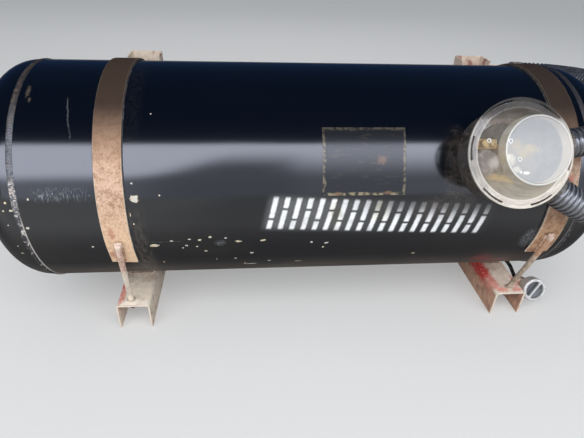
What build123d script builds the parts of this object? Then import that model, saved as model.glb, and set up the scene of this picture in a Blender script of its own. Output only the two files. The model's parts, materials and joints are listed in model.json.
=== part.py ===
from build123d import *
import math
import os

# Underfloor gas fuel tank assembly of a truck, millimetres.
# +X runs along the tank towards the valve end, +Y points inboard to the chassis rail, +Z is up.
# The pieces are drawn about the tank's axis, halfway between its weld seams, and are then moved
# so that the origin is the centre of the chassis bolt pattern, on the posts' inboard faces.

# Tank: a rolled barrel and two dished heads
tank_od = 400.0
wall = 3.0
seam_span = 916.0
straight_flange = 12.5
crown_r = 320.0
knuckle_r = 61.6
bead_width = 9.5
bead_height = 1.6

# Straps over the tank, their rubber liners and the rods welded to them
strap_inset_left = 137.6
strap_inset_right = 35.3
strap_width = 42.0
strap_thick = 3.0
strap_drop = 19.0
strap_leg = 18.5
liner_thick = 1.0
liner_overhang = 1.5
fit_gap = 0.1
rod_d = 10.0
rod_lap = 54.5
rod_tail = 28.0
rod_hole_play = 1.5
weld_width = 15.0
weld_height = 3.5

# Nuts and taper washers under the webs
nut_across_flats = 17.0
nut_height = 8.5
washer_r = 11.0
washer_height = 5.0
thread_play = 0.2

# Brackets: two bent channels under the tank, two posts against the chassis rail
bracket_shift_left = -10.1
bracket_shift_right = -0.7
rod_lean_left = -15.6
rod_lean_right = 2.2
plate = 3.0
beam_width = 62.0
beam_depth = 57.0
beam_recess = 30.5
beam_end_gap = 8.0
bend_r = 6.0
pad_thick = 3.0
pad_width = 50.0
pad_half_angle = 20.0
saddle_inner_y = 25.0
saddle_outer_y = 70.0
post_depth = 50.0
post_gap = 12.0
post_over = 20.0
bolt_centre_z = 20.0
bolt_spacing_z = 120.0
bolt_hole_r = 6.5
gusset_thick = 5.0
gusset_leg = 92.0
gusset_nose = 12.0

# Valve, on an axis tilted up from the horizontal on the outboard side
valve_inset = 154.5
valve_tilt = 30.8
neck_r = 62.0
neck_wall = 14.0
neck_rise = 12.0
valve_flange_r = 53.0
valve_flange_thick = 6.0
valve_screws = 6
valve_screw_r = 4.5
valve_screw_height = 4.0
valve_screw_circle_r = 46.0
block_length = 50.0
block_width = 34.0
block_height = 30.0
outlet_boss_r = 13.0
outlet_boss_height = 18.0
port_r = 9.0
port_length = 42.0
coil_r = 20.0
coil_height = 22.0
coil_shift = -11.0
coil_room = 3.9
tap_shift = 17.0
tap_bar_width = 15.0
tap_bar_length = 34.0
tap_bar_height = 14.0

# Valve housing: a base with two hose sockets, and the lid that lifts off it
base_wall = 3.0
rim_width = 7.0
rim_thick = 4.0
floor_thick = 3.0
lid_gap = 0.3
lid_over_hose = 2.0
lid_overhang = 5.0
lid_flange_thick = 4.0
lid_wall = 2.5
tower_r = 50.7
tower_height = 42.0
tower_edge = 3.0
shoulder_inset = 2.0
shoulder_height = 24.0
slot_count = 6
slot_arc = 27.0
slot_first = 54.0
slot_inset = 4.5
slot_width = 3.0

# Vent hoses and what holds their ends
hose_d = 48.0
hose_over_strap = 3.8
hose_gap = 6.3
upper_hose_turn = 10.0
lower_hose_turn = -37.0
socket_wall = 2.5
socket_length = 20.0
hose_straight = 62.0
hose_end_inset = 32.0
clip_thick = 2.0
clip_width = 20.0
stay_height = 25.0
stay_lap = 34.0

# Filler valve on the right beam and its pipe, and the gas outlet pipe
filler_reach = 30.0
filler_drop = 7.8
filler_tilt = 22.0
cap_recess = 44.0
cap_r = 24.5
cap_depth = 20.0
cap_wall = 5.0
cap_play = 0.4
grip_depth = 9.0
grip_width = 7.0
grip_turn = 36.0
filler_body_r = 13.0
filler_flange_r = 19.0
filler_tail = 24.0
tab_setback = 6.0
tab_margin = 4.0
tab_corner_r = 3.0
lock_nut_flats = 32.0
lock_nut_height = 6.0
pipe_r = 4.0
pipe_gap = 2.0
pipe_straight = 18.0
pipe_bend_y = -50.0
pipe_bend_z = -221.0
pipe_step = 24.0
pipe_level = -209.0
pipe_rise_y = 60.0
pipe_drop = 24.0
outlet_length = 50.0

# Radii and levels worked out from the sizes above
tank_r = tank_od / 2
seam_x = seam_span / 2
liner_in = tank_r + fit_gap
liner_out = liner_in + liner_thick
strap_in = liner_out + fit_gap
strap_out = strap_in + strap_thick
pad_in = tank_r + fit_gap
pad_out = pad_in + pad_thick
web_top = -(pad_out + fit_gap)
web_under = web_top - plate
beam_front_y = -(tank_r - beam_recess)
post_front_y = strap_out + post_gap
post_back_y = post_front_y + post_depth
beam_end_y = post_back_y - beam_end_gap
drop = math.radians(strap_drop)
tilt = math.radians(valve_tilt)
strap_x_left = -seam_x + strap_inset_left
strap_x_right = seam_x - strap_inset_right
bracket_x_left = strap_x_left + bracket_shift_left
bracket_x_right = strap_x_right + bracket_shift_right
bracket_mid_x = (bracket_x_left + bracket_x_right) / 2
valve_x = seam_x - valve_inset
neck_top = tank_r + neck_rise
flange_top = neck_top + valve_flange_thick
fitting_level = flange_top + valve_screw_height
base_r = block_length / 2 + fit_gap + 2 * coil_r + coil_room + base_wall
lid_flange_r = base_r + rim_width + lid_overhang
shoulder_r = base_r - shoulder_inset
hose_level = strap_out + hose_over_strap + hose_d / 2
lid_bottom = hose_level + hose_d / 2 + lid_over_hose
rim_top = lid_bottom - lid_gap
stay_front_y = post_front_y - plate
hose_end_y = stay_front_y - clip_thick - hose_d / 2
hose_end_x = seam_x + hose_end_inset
stay_z = math.sqrt((strap_out + hose_gap + hose_d / 2) ** 2 - hose_end_y ** 2)
post_top_z = stay_z + post_over
filler_x = bracket_x_right + beam_width / 2 + filler_reach
filler_z = web_top - filler_drop
filler_lean = math.radians(filler_tilt)
cap_front_y = -(tank_r - cap_recess)
place = Location((-bracket_mid_x, -post_back_y, -bolt_centre_z))
valve_plane = Plane((valve_x, 0, 0), x_dir=(1, 0, 0), z_dir=(0, -math.cos(tilt), math.sin(tilt)))
valve_place = valve_plane.location
filler_plane = Plane(
    (filler_x, cap_front_y, filler_z), x_dir=(1, 0, 0), z_dir=(0, math.cos(filler_lean), -math.sin(filler_lean)),
)
filler_place = filler_plane.location

os.makedirs("parts", exist_ok=True)


def keep(name, shape):
    moved = place * shape
    moved.label = name
    export_step(moved, f"parts/{name}.step")


def group(solids):
    return Compound(children=list(solids))


def rod_between(start, end, radius):
    axis = Vector(*end) - Vector(*start)
    base = Plane(Vector(*start), z_dir=axis)
    return extrude(base * Circle(radius), amount=axis.length)


def across_x(sketch, centre_x, width):
    return extrude(Plane.YZ.offset(centre_x - width / 2) * sketch, amount=width)


def raised(sketch, level, height):
    # A prism on the valve's or the filler's axis, before it is put in its place
    return extrude(Plane.XY.offset(level) * sketch, amount=height)


def ring(outer, inner):
    return Circle(outer) - Circle(inner)


def below(radius, half_angle):
    # A wedge from the axis, longer than radius, within half_angle of straight down
    reach = 2 * radius
    side = reach * math.sin(math.radians(half_angle))
    depth = reach * math.cos(math.radians(half_angle))
    return make_face(Polyline((0, 0), (side, -depth), (-side, -depth), (0, 0)))


# Barrel: a rolled shell, open at the valve neck
barrel = across_x(ring(tank_r, tank_r - wall), 0, seam_span)
keep("tank_barrel", barrel - valve_place * raised(Circle(neck_r + thread_play), 0, 2 * tank_r))

# Dished heads: a short straight flange, a knuckle arc and a crown arc, each tangent to the next
flange_x = seam_x + straight_flange
knuckle_y = tank_r - knuckle_r
crown_x = flange_x - math.sqrt((crown_r - knuckle_r) ** 2 - knuckle_y ** 2)
lean_x = (flange_x - crown_x) / (crown_r - knuckle_r)
lean_y = knuckle_y / (crown_r - knuckle_r)
knuckle_middle = math.atan2(1 + lean_y, lean_x)
crown_middle = math.atan2(lean_y, lean_x) / 2


def dish(inset, start_x):
    # The dish as a solid, its outline set in from the outer surface, on the same arc centres
    radius = tank_r - inset
    crown = crown_r - inset
    knuckle = knuckle_r - inset
    meet = (crown_x + crown * lean_x, crown * lean_y)
    on_knuckle = (flange_x + knuckle * math.cos(knuckle_middle), knuckle_y + knuckle * math.sin(knuckle_middle))
    on_crown = (crown_x + crown * math.cos(crown_middle), crown * math.sin(crown_middle))
    profile = make_face([
        Line((start_x, 0), (start_x, radius)),
        Line((start_x, radius), (flange_x, radius)),
        ThreePointArc((flange_x, radius), on_knuckle, meet),
        ThreePointArc(meet, on_crown, (crown_x + crown, 0)),
        Line((crown_x + crown, 0), (start_x, 0)),
    ])
    return revolve(profile, Axis.X)


head_right = dish(0, seam_x) - dish(wall, seam_x - 1)
bead_foot = tank_r - wall / 2
bead_end = seam_x + bead_width
bead_face = make_face(Polyline(
    (seam_x, bead_foot), (seam_x, tank_r + bead_height / 2), (seam_x + bead_width / 4, tank_r + bead_height),
    (bead_end - bead_width / 4, tank_r + bead_height), (bead_end, tank_r), (bead_end, bead_foot), close=True,
))
head_right += revolve(bead_face, Axis.X)
keep("tank_head_right", head_right)
keep("tank_head_left", mirror(head_right, Plane.YZ))

# Valve neck, welded into the barrel, and the screwed flange on it
neck_bottom = math.sqrt((tank_r - wall) ** 2 - neck_r ** 2)
keep("valve_neck", valve_place * raised(ring(neck_r, neck_r - neck_wall), neck_bottom, neck_top - neck_bottom))

valve_flange = raised(Circle(valve_flange_r), neck_top, valve_flange_thick)
for spot in PolarLocations(valve_screw_circle_r, valve_screws, start_angle=180 / valve_screws):
    valve_flange += raised(spot * RegularPolygon(valve_screw_r, 6), flange_top, valve_screw_height)
keep("valve_flange", valve_place * valve_flange)

# Valve body: a brass block with a raised outlet boss and a port towards each hose
valve_body = raised(RectangleRounded(block_length, block_width, 5), flange_top, block_height)
valve_body += raised(Circle(outlet_boss_r), flange_top + block_height, outlet_boss_height)
for turn in (upper_hose_turn, lower_hose_turn):
    port = Rot(0, 90, 0) * Cylinder(port_r, port_length, align=(Align.CENTER, Align.CENTER, Align.MIN))
    valve_body += Pos(0, 0, flange_top + block_height / 2) * Rot(0, 0, turn) * port
keep("valve_body", valve_place * valve_body)

# Solenoid coil beside the block, on the flange's screw heads
coil_x = -block_length / 2 - fit_gap - coil_r
coil = raised(Pos(coil_x, coil_shift) * Circle(coil_r), fitting_level, coil_height)
coil = chamfer(coil.edges().group_by(Axis.Z)[-1], 3)
keep("valve_coil", valve_place * coil)

# Two taps on a bar above the coil
tap_bar_x = -block_length / 2 - fit_gap - tap_bar_length / 2
taps = raised(Pos(tap_bar_x, tap_shift) * RectangleRounded(tap_bar_length, tap_bar_width, 3), fitting_level, tap_bar_height)
taps += raised(Pos(tap_bar_x - 6, tap_shift) * Circle(6), fitting_level + tap_bar_height, 10)
taps += raised(Pos(tap_bar_x + 8, tap_shift) * Circle(4.5), fitting_level + tap_bar_height, 7)
keep("valve_taps", valve_place * taps)

# Housing base: a tube seated on the barrel, with a floor, a rim on top and two hose sockets
tube_bottom = math.sqrt(tank_r ** 2 - base_r ** 2)
tube_height = rim_top - tube_bottom
base = raised(Circle(base_r), tube_bottom, tube_height)
base += raised(Circle(base_r + rim_width), rim_top - rim_thick, rim_thick)
socket_start = base_r * 0.8
socket_end = base_r + socket_length
slab = raised(Circle(2 * base_r), tube_bottom, tube_height)
bores = []
for turn in (upper_hose_turn, lower_hose_turn):
    aim = Pos(0, 0, hose_level) * Rot(0, 0, turn) * Rot(0, 90, 0) * Pos(0, 0, (socket_start + socket_end) / 2)
    base += (aim * Cylinder(hose_d / 2 + socket_wall, socket_end - socket_start)) & slab
    bores.append(aim * Cylinder(hose_d / 2, socket_end - socket_start + 2))
base -= raised(Circle(base_r - base_wall), tube_bottom - 1, tube_height + 2)
base += raised(ring(base_r - base_wall / 2, neck_r + thread_play), neck_top - floor_thick, floor_thick)
for bore in bores:
    base -= bore
base -= valve_place.inverse() * across_x(Circle(tank_r), 0, seam_span)
keep("housing_base", valve_place * base)

# Housing lid: a wide flange with arc slots, a conical shoulder and a round tower
flange_up = lid_bottom + lid_flange_thick
shoulder_top = flange_up + shoulder_height
tower_top = flange_up + tower_height
lid_outer = [
    (0, tower_top), (tower_r - tower_edge, tower_top), (tower_r, tower_top - tower_edge),
    (tower_r + 1.5, shoulder_top), (tower_r + 4, shoulder_top - 3), (shoulder_r - 2, flange_up + 3),
    (shoulder_r, flange_up), (lid_flange_r, flange_up), (lid_flange_r, lid_bottom),
]
lid_inner = [
    (shoulder_r - lid_wall, lid_bottom), (shoulder_r - lid_wall, flange_up),
    (tower_r + 4 - lid_wall, shoulder_top - 4), (tower_r + 1.5 - lid_wall, shoulder_top - 1),
    (tower_r - lid_wall, tower_top - tower_edge - lid_wall / 2), (tower_r - tower_edge - lid_wall / 2, tower_top - lid_wall),
    (0, tower_top - lid_wall),
]
lid = revolve(make_face(Plane.XZ * Polyline(*lid_outer, *lid_inner, close=True)), Axis.Z)
slot_r = lid_flange_r - slot_inset
half_arc = math.radians(slot_arc / 2)
slot_x = 2 * slot_r * math.cos(half_arc)
slot_y = 2 * slot_r * math.sin(half_arc)
slot_wedge = make_face(Polyline((0, 0), (slot_x, slot_y), (slot_x, -slot_y), (0, 0)))
slot = ring(slot_r + slot_width / 2, slot_r - slot_width / 2) & slot_wedge
for number in range(slot_count):
    turned = Rot(0, 0, slot_first + number * 360 / slot_count) * slot
    lid -= raised(turned, lid_bottom - 1, lid_flange_thick + 2)
keep("housing_lid", valve_place * lid)


def from_valve(out, turn):
    # A point on a hose's level, given by its distance from the valve's axis and its turn
    angle = math.radians(turn)
    local = Vector(out * math.cos(angle), out * math.sin(angle), hose_level)
    return tuple(valve_plane.from_local_coords(local))


def round_tank(past_seam, turn, out):
    # A point past the right seam, turned up from outboard, so far out from the tank's surface
    angle = math.radians(turn)
    radius = tank_r + out
    return (seam_x + past_seam, -radius * math.cos(angle), radius * math.sin(angle))


def tube_along(points, radius):
    radii = []
    for before, here, after in zip(points, points[1:], points[2:]):
        first = Vector(*here) - Vector(*before)
        second = Vector(*after) - Vector(*here)
        bend = math.radians(first.get_angle(second))
        radii.append(0.45 * min(first.length, second.length) / math.tan(bend / 2))
    path = FilletPolyline(*points, radius=radii)
    tube = sweep(Plane(path @ 0, z_dir=path % 0) * Circle(radius), path=path)
    print("radii", [round(value) for value in radii], "length", round(path.length, 1))
    print("volume over section times length", round(tube.volume / (math.pi * radius ** 2 * path.length), 4))
    return tube


# Vent hoses: out of the sockets, round the right head and back to the stays on the right post.
# Each row is the distance past the seam, the turn up from outboard and the distance from the surface.
upper_route = [(47, 39.3, 40), (110, 53.7, 6), (125, 79.9, -29), (125, 110.3, -27), (114, 132.6, 4)]
lower_route = [(37, 4.8, 36.8), (114, -2.4, -9.8), (146, -21.8, -86.9), (146, -86.3, -121.8), (136, -128.8, -56.3)]
hoses = [
    # name, socket turn, route, how far past the seam it turns back, which side of the axis it ends on
    ("vent_hose_upper", upper_hose_turn, upper_route, 87, 1),
    ("vent_hose_lower", lower_hose_turn, lower_route, 97, -1),
]
for hose_name, turn, route, turn_back, side in hoses:
    route_points = [from_valve(base_r + 1, turn), from_valve(base_r + hose_straight, turn)]
    route_points += [round_tank(*row) for row in route]
    route_points.append((seam_x + turn_back, hose_end_y, side * stay_z))
    route_points.append((hose_end_x, hose_end_y, side * stay_z))
    keep(hose_name, tube_along(route_points, hose_d / 2))


def on_leg(level, along, side):
    # A point of the Y-Z plane, so far out from the axis and so far down the strap's straight leg
    y = level * math.cos(drop) - along * math.sin(drop)
    z = -level * math.sin(drop) - along * math.cos(drop)
    return (side * y, z)


def strap_profile(inner, outer, leg):
    profile = ring(outer, inner) - below(2 * outer, 90 - strap_drop)
    for side in (1, -1):
        corners = [on_leg(inner, 0, side), on_leg(outer, 0, side), on_leg(outer, leg, side), on_leg(inner, leg, side)]
        profile += make_face(Polyline(*corners, close=True))
    return profile


rod_level = strap_out + rod_d / 2
top_along = strap_leg - rod_lap
foot_along = (-web_top - rod_level * math.sin(drop)) / math.cos(drop)
nut_along = foot_along + plate / math.cos(drop) + washer_height
under_web = across_x(Pos(0, web_under - beam_depth) * Rectangle(4 * tank_r, 2 * beam_depth), 0, 4 * seam_x)
post_width = beam_width + 2 * plate
post_bottom_z = web_top - beam_depth
corner_y = post_back_y - plate

brackets = [
    # name, strap centre, bracket centre, how far the rods lean along X on their way to the web
    ("left", strap_x_left, bracket_x_left, rod_lean_left),
    ("right", strap_x_right, bracket_x_right, rod_lean_right),
]
for side_name, strap_x, bracket_x, lean in brackets:
    def on_rod(along, side):
        x = strap_x + lean * (along - top_along) / (foot_along - top_along)
        return (x, *on_leg(rod_level, along, side))

    # Strap, with its two rods and their welds, over the liner
    strap = across_x(strap_profile(strap_in, strap_out, strap_leg), strap_x, strap_width)
    liner = across_x(strap_profile(liner_in, liner_out, fit_gap), strap_x, strap_width + 2 * liner_overhang)
    keep(f"strap_liner_{side_name}", liner)
    nuts = []
    washers = []
    rod_holes = []
    for side in (1, -1):
        top = on_rod(top_along, side)
        end = on_rod(foot_along + rod_tail, side)
        strap += rod_between(top, end, rod_d / 2)
        weld_face = make_face(Polyline(
            on_leg(strap_in, top_along, side), on_leg(strap_in, strap_leg, side), on_leg(strap_out, strap_leg, side),
            on_leg(strap_out + weld_height, strap_leg - 2, side),
            on_leg(strap_out + weld_height, top_along + 2, side), close=True,
        ))
        strap += across_x(weld_face - Circle(strap_in + strap_thick / 2), strap_x, weld_width)
        nut_start = on_rod(nut_along, side)
        bore = rod_between(top, end, rod_d / 2 + thread_play)
        washers.append((rod_between(on_rod(foot_along, side), nut_start, washer_r) & under_web) - bore)
        nut_base = Plane(Vector(*nut_start), z_dir=Vector(*end) - Vector(*top))
        nut = extrude(nut_base * RegularPolygon(nut_across_flats / 2, 6, major_radius=False), amount=nut_height)
        nuts.append(nut - bore)
        rod_holes.append(rod_between(on_rod(foot_along - rod_d, side), nut_start, rod_d / 2 + rod_hole_play))
    keep(f"strap_{side_name}", strap)
    keep(f"rod_washers_{side_name}", group(washers))
    keep(f"rod_nuts_{side_name}", group(nuts))

    # Beam: a bent channel, open downwards, its section drawn in the X-Z plane
    beam_outer = Pos(0, web_top - beam_depth / 2) * Rectangle(beam_width, beam_depth)
    beam_outer = fillet(beam_outer.vertices().group_by(Axis.Y)[-1], bend_r)
    beam_inner = Pos(0, web_under - beam_depth / 2) * Rectangle(beam_width - 2 * plate, beam_depth)
    beam_inner = fillet(beam_inner.vertices().group_by(Axis.Y)[-1], bend_r - plate)
    beam_face = Plane.XZ.offset(-beam_end_y) * Pos(bracket_x, 0) * (beam_outer - beam_inner)
    beam = extrude(beam_face, amount=beam_end_y - beam_front_y)
    for rod_hole in rod_holes:
        beam -= rod_hole
    keep(f"beam_{side_name}", beam)

    # Saddle wedges and the rubber pad on the web under the tank
    wedge_place = Pos((saddle_inner_y + saddle_outer_y) / 2, web_top + tank_r / 4)
    wedge = wedge_place * Rectangle(saddle_outer_y - saddle_inner_y, tank_r / 2) - Circle(pad_out + fit_gap)
    wedges = [across_x(face, bracket_x, pad_width) for face in (wedge, mirror(wedge, Plane.YZ))]
    keep(f"saddle_{side_name}", group(wedges))
    pad = ring(pad_out, pad_in) & below(tank_r, pad_half_angle)
    keep(f"saddle_pad_{side_name}", across_x(pad, bracket_x, pad_width))

    # Post: a channel open towards the tank, its web against the chassis rail
    post_outer = Rectangle(post_width, post_depth, align=(Align.CENTER, Align.MAX))
    post_outer = fillet(post_outer.vertices().group_by(Axis.Y)[-1], bend_r)
    post_inner = Pos(0, -plate) * Rectangle(beam_width, post_depth, align=(Align.CENTER, Align.MAX))
    post_inner = fillet(post_inner.vertices().group_by(Axis.Y)[-1], bend_r - plate)
    post_face = Plane.XY.offset(post_bottom_z) * Pos(bracket_x, post_back_y) * (post_outer - post_inner)
    post = extrude(post_face, amount=post_top_z - post_bottom_z)
    for step in (-1, 1):
        hole_z = bolt_centre_z + step * bolt_spacing_z / 2
        post -= Pos(bracket_x, post_back_y, hole_z) * Rot(90, 0, 0) * Cylinder(bolt_hole_r, 4 * plate)
    keep(f"post_{side_name}", post)

    # Gusset in the corner between the beam and the post
    gusset_face = make_face(Polyline(
        (corner_y, web_top), (corner_y - gusset_leg, web_top), (corner_y - gusset_leg, web_top + gusset_nose),
        (corner_y - gusset_nose, web_top + gusset_leg), (corner_y, web_top + gusset_leg), close=True,
    ))
    keep(f"gusset_{side_name}", across_x(gusset_face, bracket_x, gusset_thick))

# Hose stays: angles bent from bar, lapped on the right post's side, with a clip band at each hose's end
stay_left = bracket_x_right + post_width / 2
stay_right = hose_end_x + 1.2 * clip_width
stay_face = Pos(stay_left, stay_front_y) * Rectangle(stay_right - stay_left, plate, align=Align.MIN)
stay_face += Pos(stay_left, stay_front_y) * Rectangle(plate, plate + stay_lap, align=Align.MIN)
stays = []
clips = []
for side in (1, -1):
    stay_foot = side * stay_z - stay_height / 2
    stays.append(extrude(Plane.XY.offset(stay_foot) * stay_face, amount=stay_height))
    clip_face = Pos(hose_end_y, side * stay_z) * ring(hose_d / 2 + clip_thick, hose_d / 2)
    clips.append(across_x(clip_face, hose_end_x + 0.6 * clip_width, clip_width))
keep("hose_stays", group(stays))
keep("hose_clips", group(clips))


def filler_bar(start, end, radius):
    # A bar on the filler's axis, from and to so far behind the cap's face, before it is put in its place
    return raised(Circle(radius), start, end - start)


# Filler tab, welded to the right beam's side
beam_side_x = bracket_x_right + beam_width / 2
tab_front = cap_depth + tab_setback
tab_back = tab_front + plate
tab_right = filler_body_r + tab_margin
tab_face = Pos((tab_right - filler_reach) / 2, 0) * RectangleRounded(filler_reach + tab_right, 2 * tab_right, tab_corner_r)
tab_hole = filler_bar(tab_front - 1, tab_back + 1, filler_body_r + thread_play)
keep("filler_tab", filler_place * (raised(tab_face, tab_front, plate) - tab_hole))

# Filler body through the tab, with its lock nut behind
stem_r = cap_r - cap_wall - cap_play
grip_back = grip_depth + cap_wall
filler_end = tab_back + filler_tail
filler_body = filler_bar(cap_depth + 1, tab_front, filler_flange_r)
filler_body += filler_bar(grip_back + 1, cap_depth + 2, stem_r)
filler_body += filler_bar(tab_front - 1, filler_end, filler_body_r)
filler_body -= filler_bar(grip_back, cap_depth, stem_r - 5)
keep("filler_body", filler_place * filler_body)

lock_nut = raised(RegularPolygon(lock_nut_flats / 2, 6, major_radius=False), tab_back, lock_nut_height)
keep("filler_lock_nut", filler_place * (lock_nut - filler_bar(tab_front, filler_end, filler_body_r + thread_play)))

# Filler cap, with two wells that leave a grip bar across its face
cap = filler_bar(0, cap_depth, cap_r)
cap = chamfer(cap.faces().sort_by(Axis.Z)[0].edges(), 1.5)
cap -= filler_bar(grip_back, cap_depth + 1, cap_r - cap_wall)
grip_well = filler_bar(-1, grip_depth, cap_r - cap_wall - 1)
grip_well -= Rot(0, 0, grip_turn) * Box(grip_width, 3 * cap_r, 3 * cap_r)
keep("filler_cap", filler_place * (cap - grip_well))

# Filler pipe: from the filler back under the tank and up to the lower hose's end
pipe_x = beam_side_x + pipe_gap + pipe_r
pipe_points = [
    tuple(filler_plane.from_local_coords(Vector(0, 0, filler_end))),
    tuple(filler_plane.from_local_coords(Vector(0, 0, filler_end + pipe_straight))),
    (filler_x, pipe_bend_y, pipe_bend_z), (pipe_x, pipe_bend_y + pipe_step, pipe_level),
    (pipe_x, hose_end_y - pipe_rise_y, pipe_level), (pipe_x, hose_end_y - pipe_r, -stay_z - pipe_drop),
    (hose_end_x - clip_width + pipe_r, hose_end_y, -stay_z),
    (hose_end_x, hose_end_y, -stay_z),
]
keep("filler_pipe", tube_along(pipe_points, pipe_r))

# Gas outlet pipe: the stub that comes out of the upper hose's end
outlet_end = (hose_end_x - outlet_length, hose_end_y, stay_z)
keep("outlet_pipe", rod_between((hose_end_x, hose_end_y, stay_z), outlet_end, pipe_r))
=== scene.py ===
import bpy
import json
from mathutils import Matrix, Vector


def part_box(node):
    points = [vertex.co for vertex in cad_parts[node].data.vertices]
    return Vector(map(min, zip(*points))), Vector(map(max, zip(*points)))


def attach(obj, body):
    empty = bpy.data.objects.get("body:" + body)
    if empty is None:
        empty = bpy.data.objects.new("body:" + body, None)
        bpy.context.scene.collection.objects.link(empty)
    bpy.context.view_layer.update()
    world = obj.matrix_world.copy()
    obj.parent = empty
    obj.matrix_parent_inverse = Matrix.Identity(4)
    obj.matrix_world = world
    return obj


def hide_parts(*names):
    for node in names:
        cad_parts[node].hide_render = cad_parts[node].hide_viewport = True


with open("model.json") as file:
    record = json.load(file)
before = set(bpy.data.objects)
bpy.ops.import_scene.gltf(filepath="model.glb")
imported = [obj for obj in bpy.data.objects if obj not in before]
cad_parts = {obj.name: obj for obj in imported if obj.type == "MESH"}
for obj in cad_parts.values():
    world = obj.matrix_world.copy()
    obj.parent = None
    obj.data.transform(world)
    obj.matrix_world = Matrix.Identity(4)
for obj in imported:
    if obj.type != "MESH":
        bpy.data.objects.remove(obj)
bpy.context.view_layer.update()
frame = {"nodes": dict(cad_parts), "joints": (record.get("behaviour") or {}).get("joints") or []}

import json
import math

import bmesh
import bpy
from mathutils import Matrix, Vector, noise

# Camera: it stands where the photograph was taken from, a little left of the tank's middle,
# and looks down on it. Places below are in millimetres from the middle of the tank's axis.
barrel_low, barrel_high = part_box("tank_barrel")
tank_middle = (barrel_low + barrel_high) / 2


def at(x, y, z):
    return tank_middle + Vector((x, y, z)) / 1000


camera_place = at(-106.8, -818.7, 411.3)
yaw, pitch, roll = (math.radians(angle) for angle in (6.33, 33.04, 2.45))
look = Vector((math.sin(yaw) * math.cos(pitch), math.cos(yaw) * math.cos(pitch), -math.sin(pitch)))
level_right = Vector((math.cos(yaw), -math.sin(yaw), 0))
level_up = level_right.cross(look)
camera_right = level_right * math.cos(roll) + level_up * math.sin(roll)
camera_up = level_up * math.cos(roll) - level_right * math.sin(roll)
camera = bpy.data.objects.new("camera", bpy.data.cameras.new("camera"))
camera.data.lens = 27.94
camera.data.clip_start = 0.01
facing = Matrix((camera_right, camera_up, -look)).transposed().to_4x4()
camera.matrix_world = Matrix.Translation(camera_place) @ facing
bpy.context.scene.collection.objects.link(camera)
bpy.context.scene.camera = camera


# Tank: a rolled steel barrel with two dished heads, sprayed gloss black. The paint is chipped
# and dusty, and a row of plain slanted bars is sprayed across it in white through a stencil.
class Level:
    """A number or a place in a finish's pattern; arithmetic on it adds a node to the finish."""

    def __init__(self, finish, socket):
        self.finish = finish
        self.socket = socket

    def work(self, operation, *values, out=0):
        kind = "ShaderNodeVectorMath" if self.socket.type == "VECTOR" else "ShaderNodeMath"
        node = self.finish.tree.nodes.new(kind)
        node.operation = operation
        for socket, value in zip(node.inputs, values):
            self.finish.fill(socket, value)
        return Level(self.finish, node.outputs[out])

    def __add__(self, other):
        return self.work("ADD", self, other)

    def __sub__(self, other):
        return self.work("SUBTRACT", self, other)

    def __rsub__(self, other):
        return self.work("SUBTRACT", other, self)

    def __mul__(self, other):
        return self.work("MULTIPLY", self, other)

    def __truediv__(self, other):
        return self.work("DIVIDE", self, other)

    def __abs__(self):
        return self.work("ABSOLUTE", self)

    def fraction(self):
        return self.work("FRACT", self)

    def length(self):
        return self.work("LENGTH", self, out="Value")

    def dot(self, way):
        return self.work("DOT_PRODUCT", self, tuple(way), out="Value")

    def cross(self, way):
        return self.work("CROSS_PRODUCT", self, tuple(way))

    def step(self, low, high, out_low=0.0, out_high=1.0):
        """A smooth change from out_low to out_high as the level goes from low to high."""
        node = self.finish.tree.nodes.new("ShaderNodeMapRange")
        node.interpolation_type = "SMOOTHSTEP"
        if low > high:
            low, high, out_low, out_high = high, low, out_high, out_low
        for socket, given in zip(node.inputs, (self, low, high, out_low, out_high)):
            self.finish.fill(socket, given)
        return Level(self.finish, node.outputs["Result"])

    def between(self, low, high, soft):
        """1 from low to high, fading to 0 over soft on each side."""
        return self.step(low - soft, low + soft) * self.step(high + soft, high - soft)

    def spots(self, rows, ragged=0.5):
        """Nearest of several spots, each row its centre and half size: 1 at its rim, less inside."""
        away = [((self - (x, y, 0)) / (half_x, half_y, 1)).length() for x, y, half_x, half_y in rows]
        return self.finish.lowest(*away) + (self.finish.noise(3.5, detail=3) - 0.5) * (2 * ragged)


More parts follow.
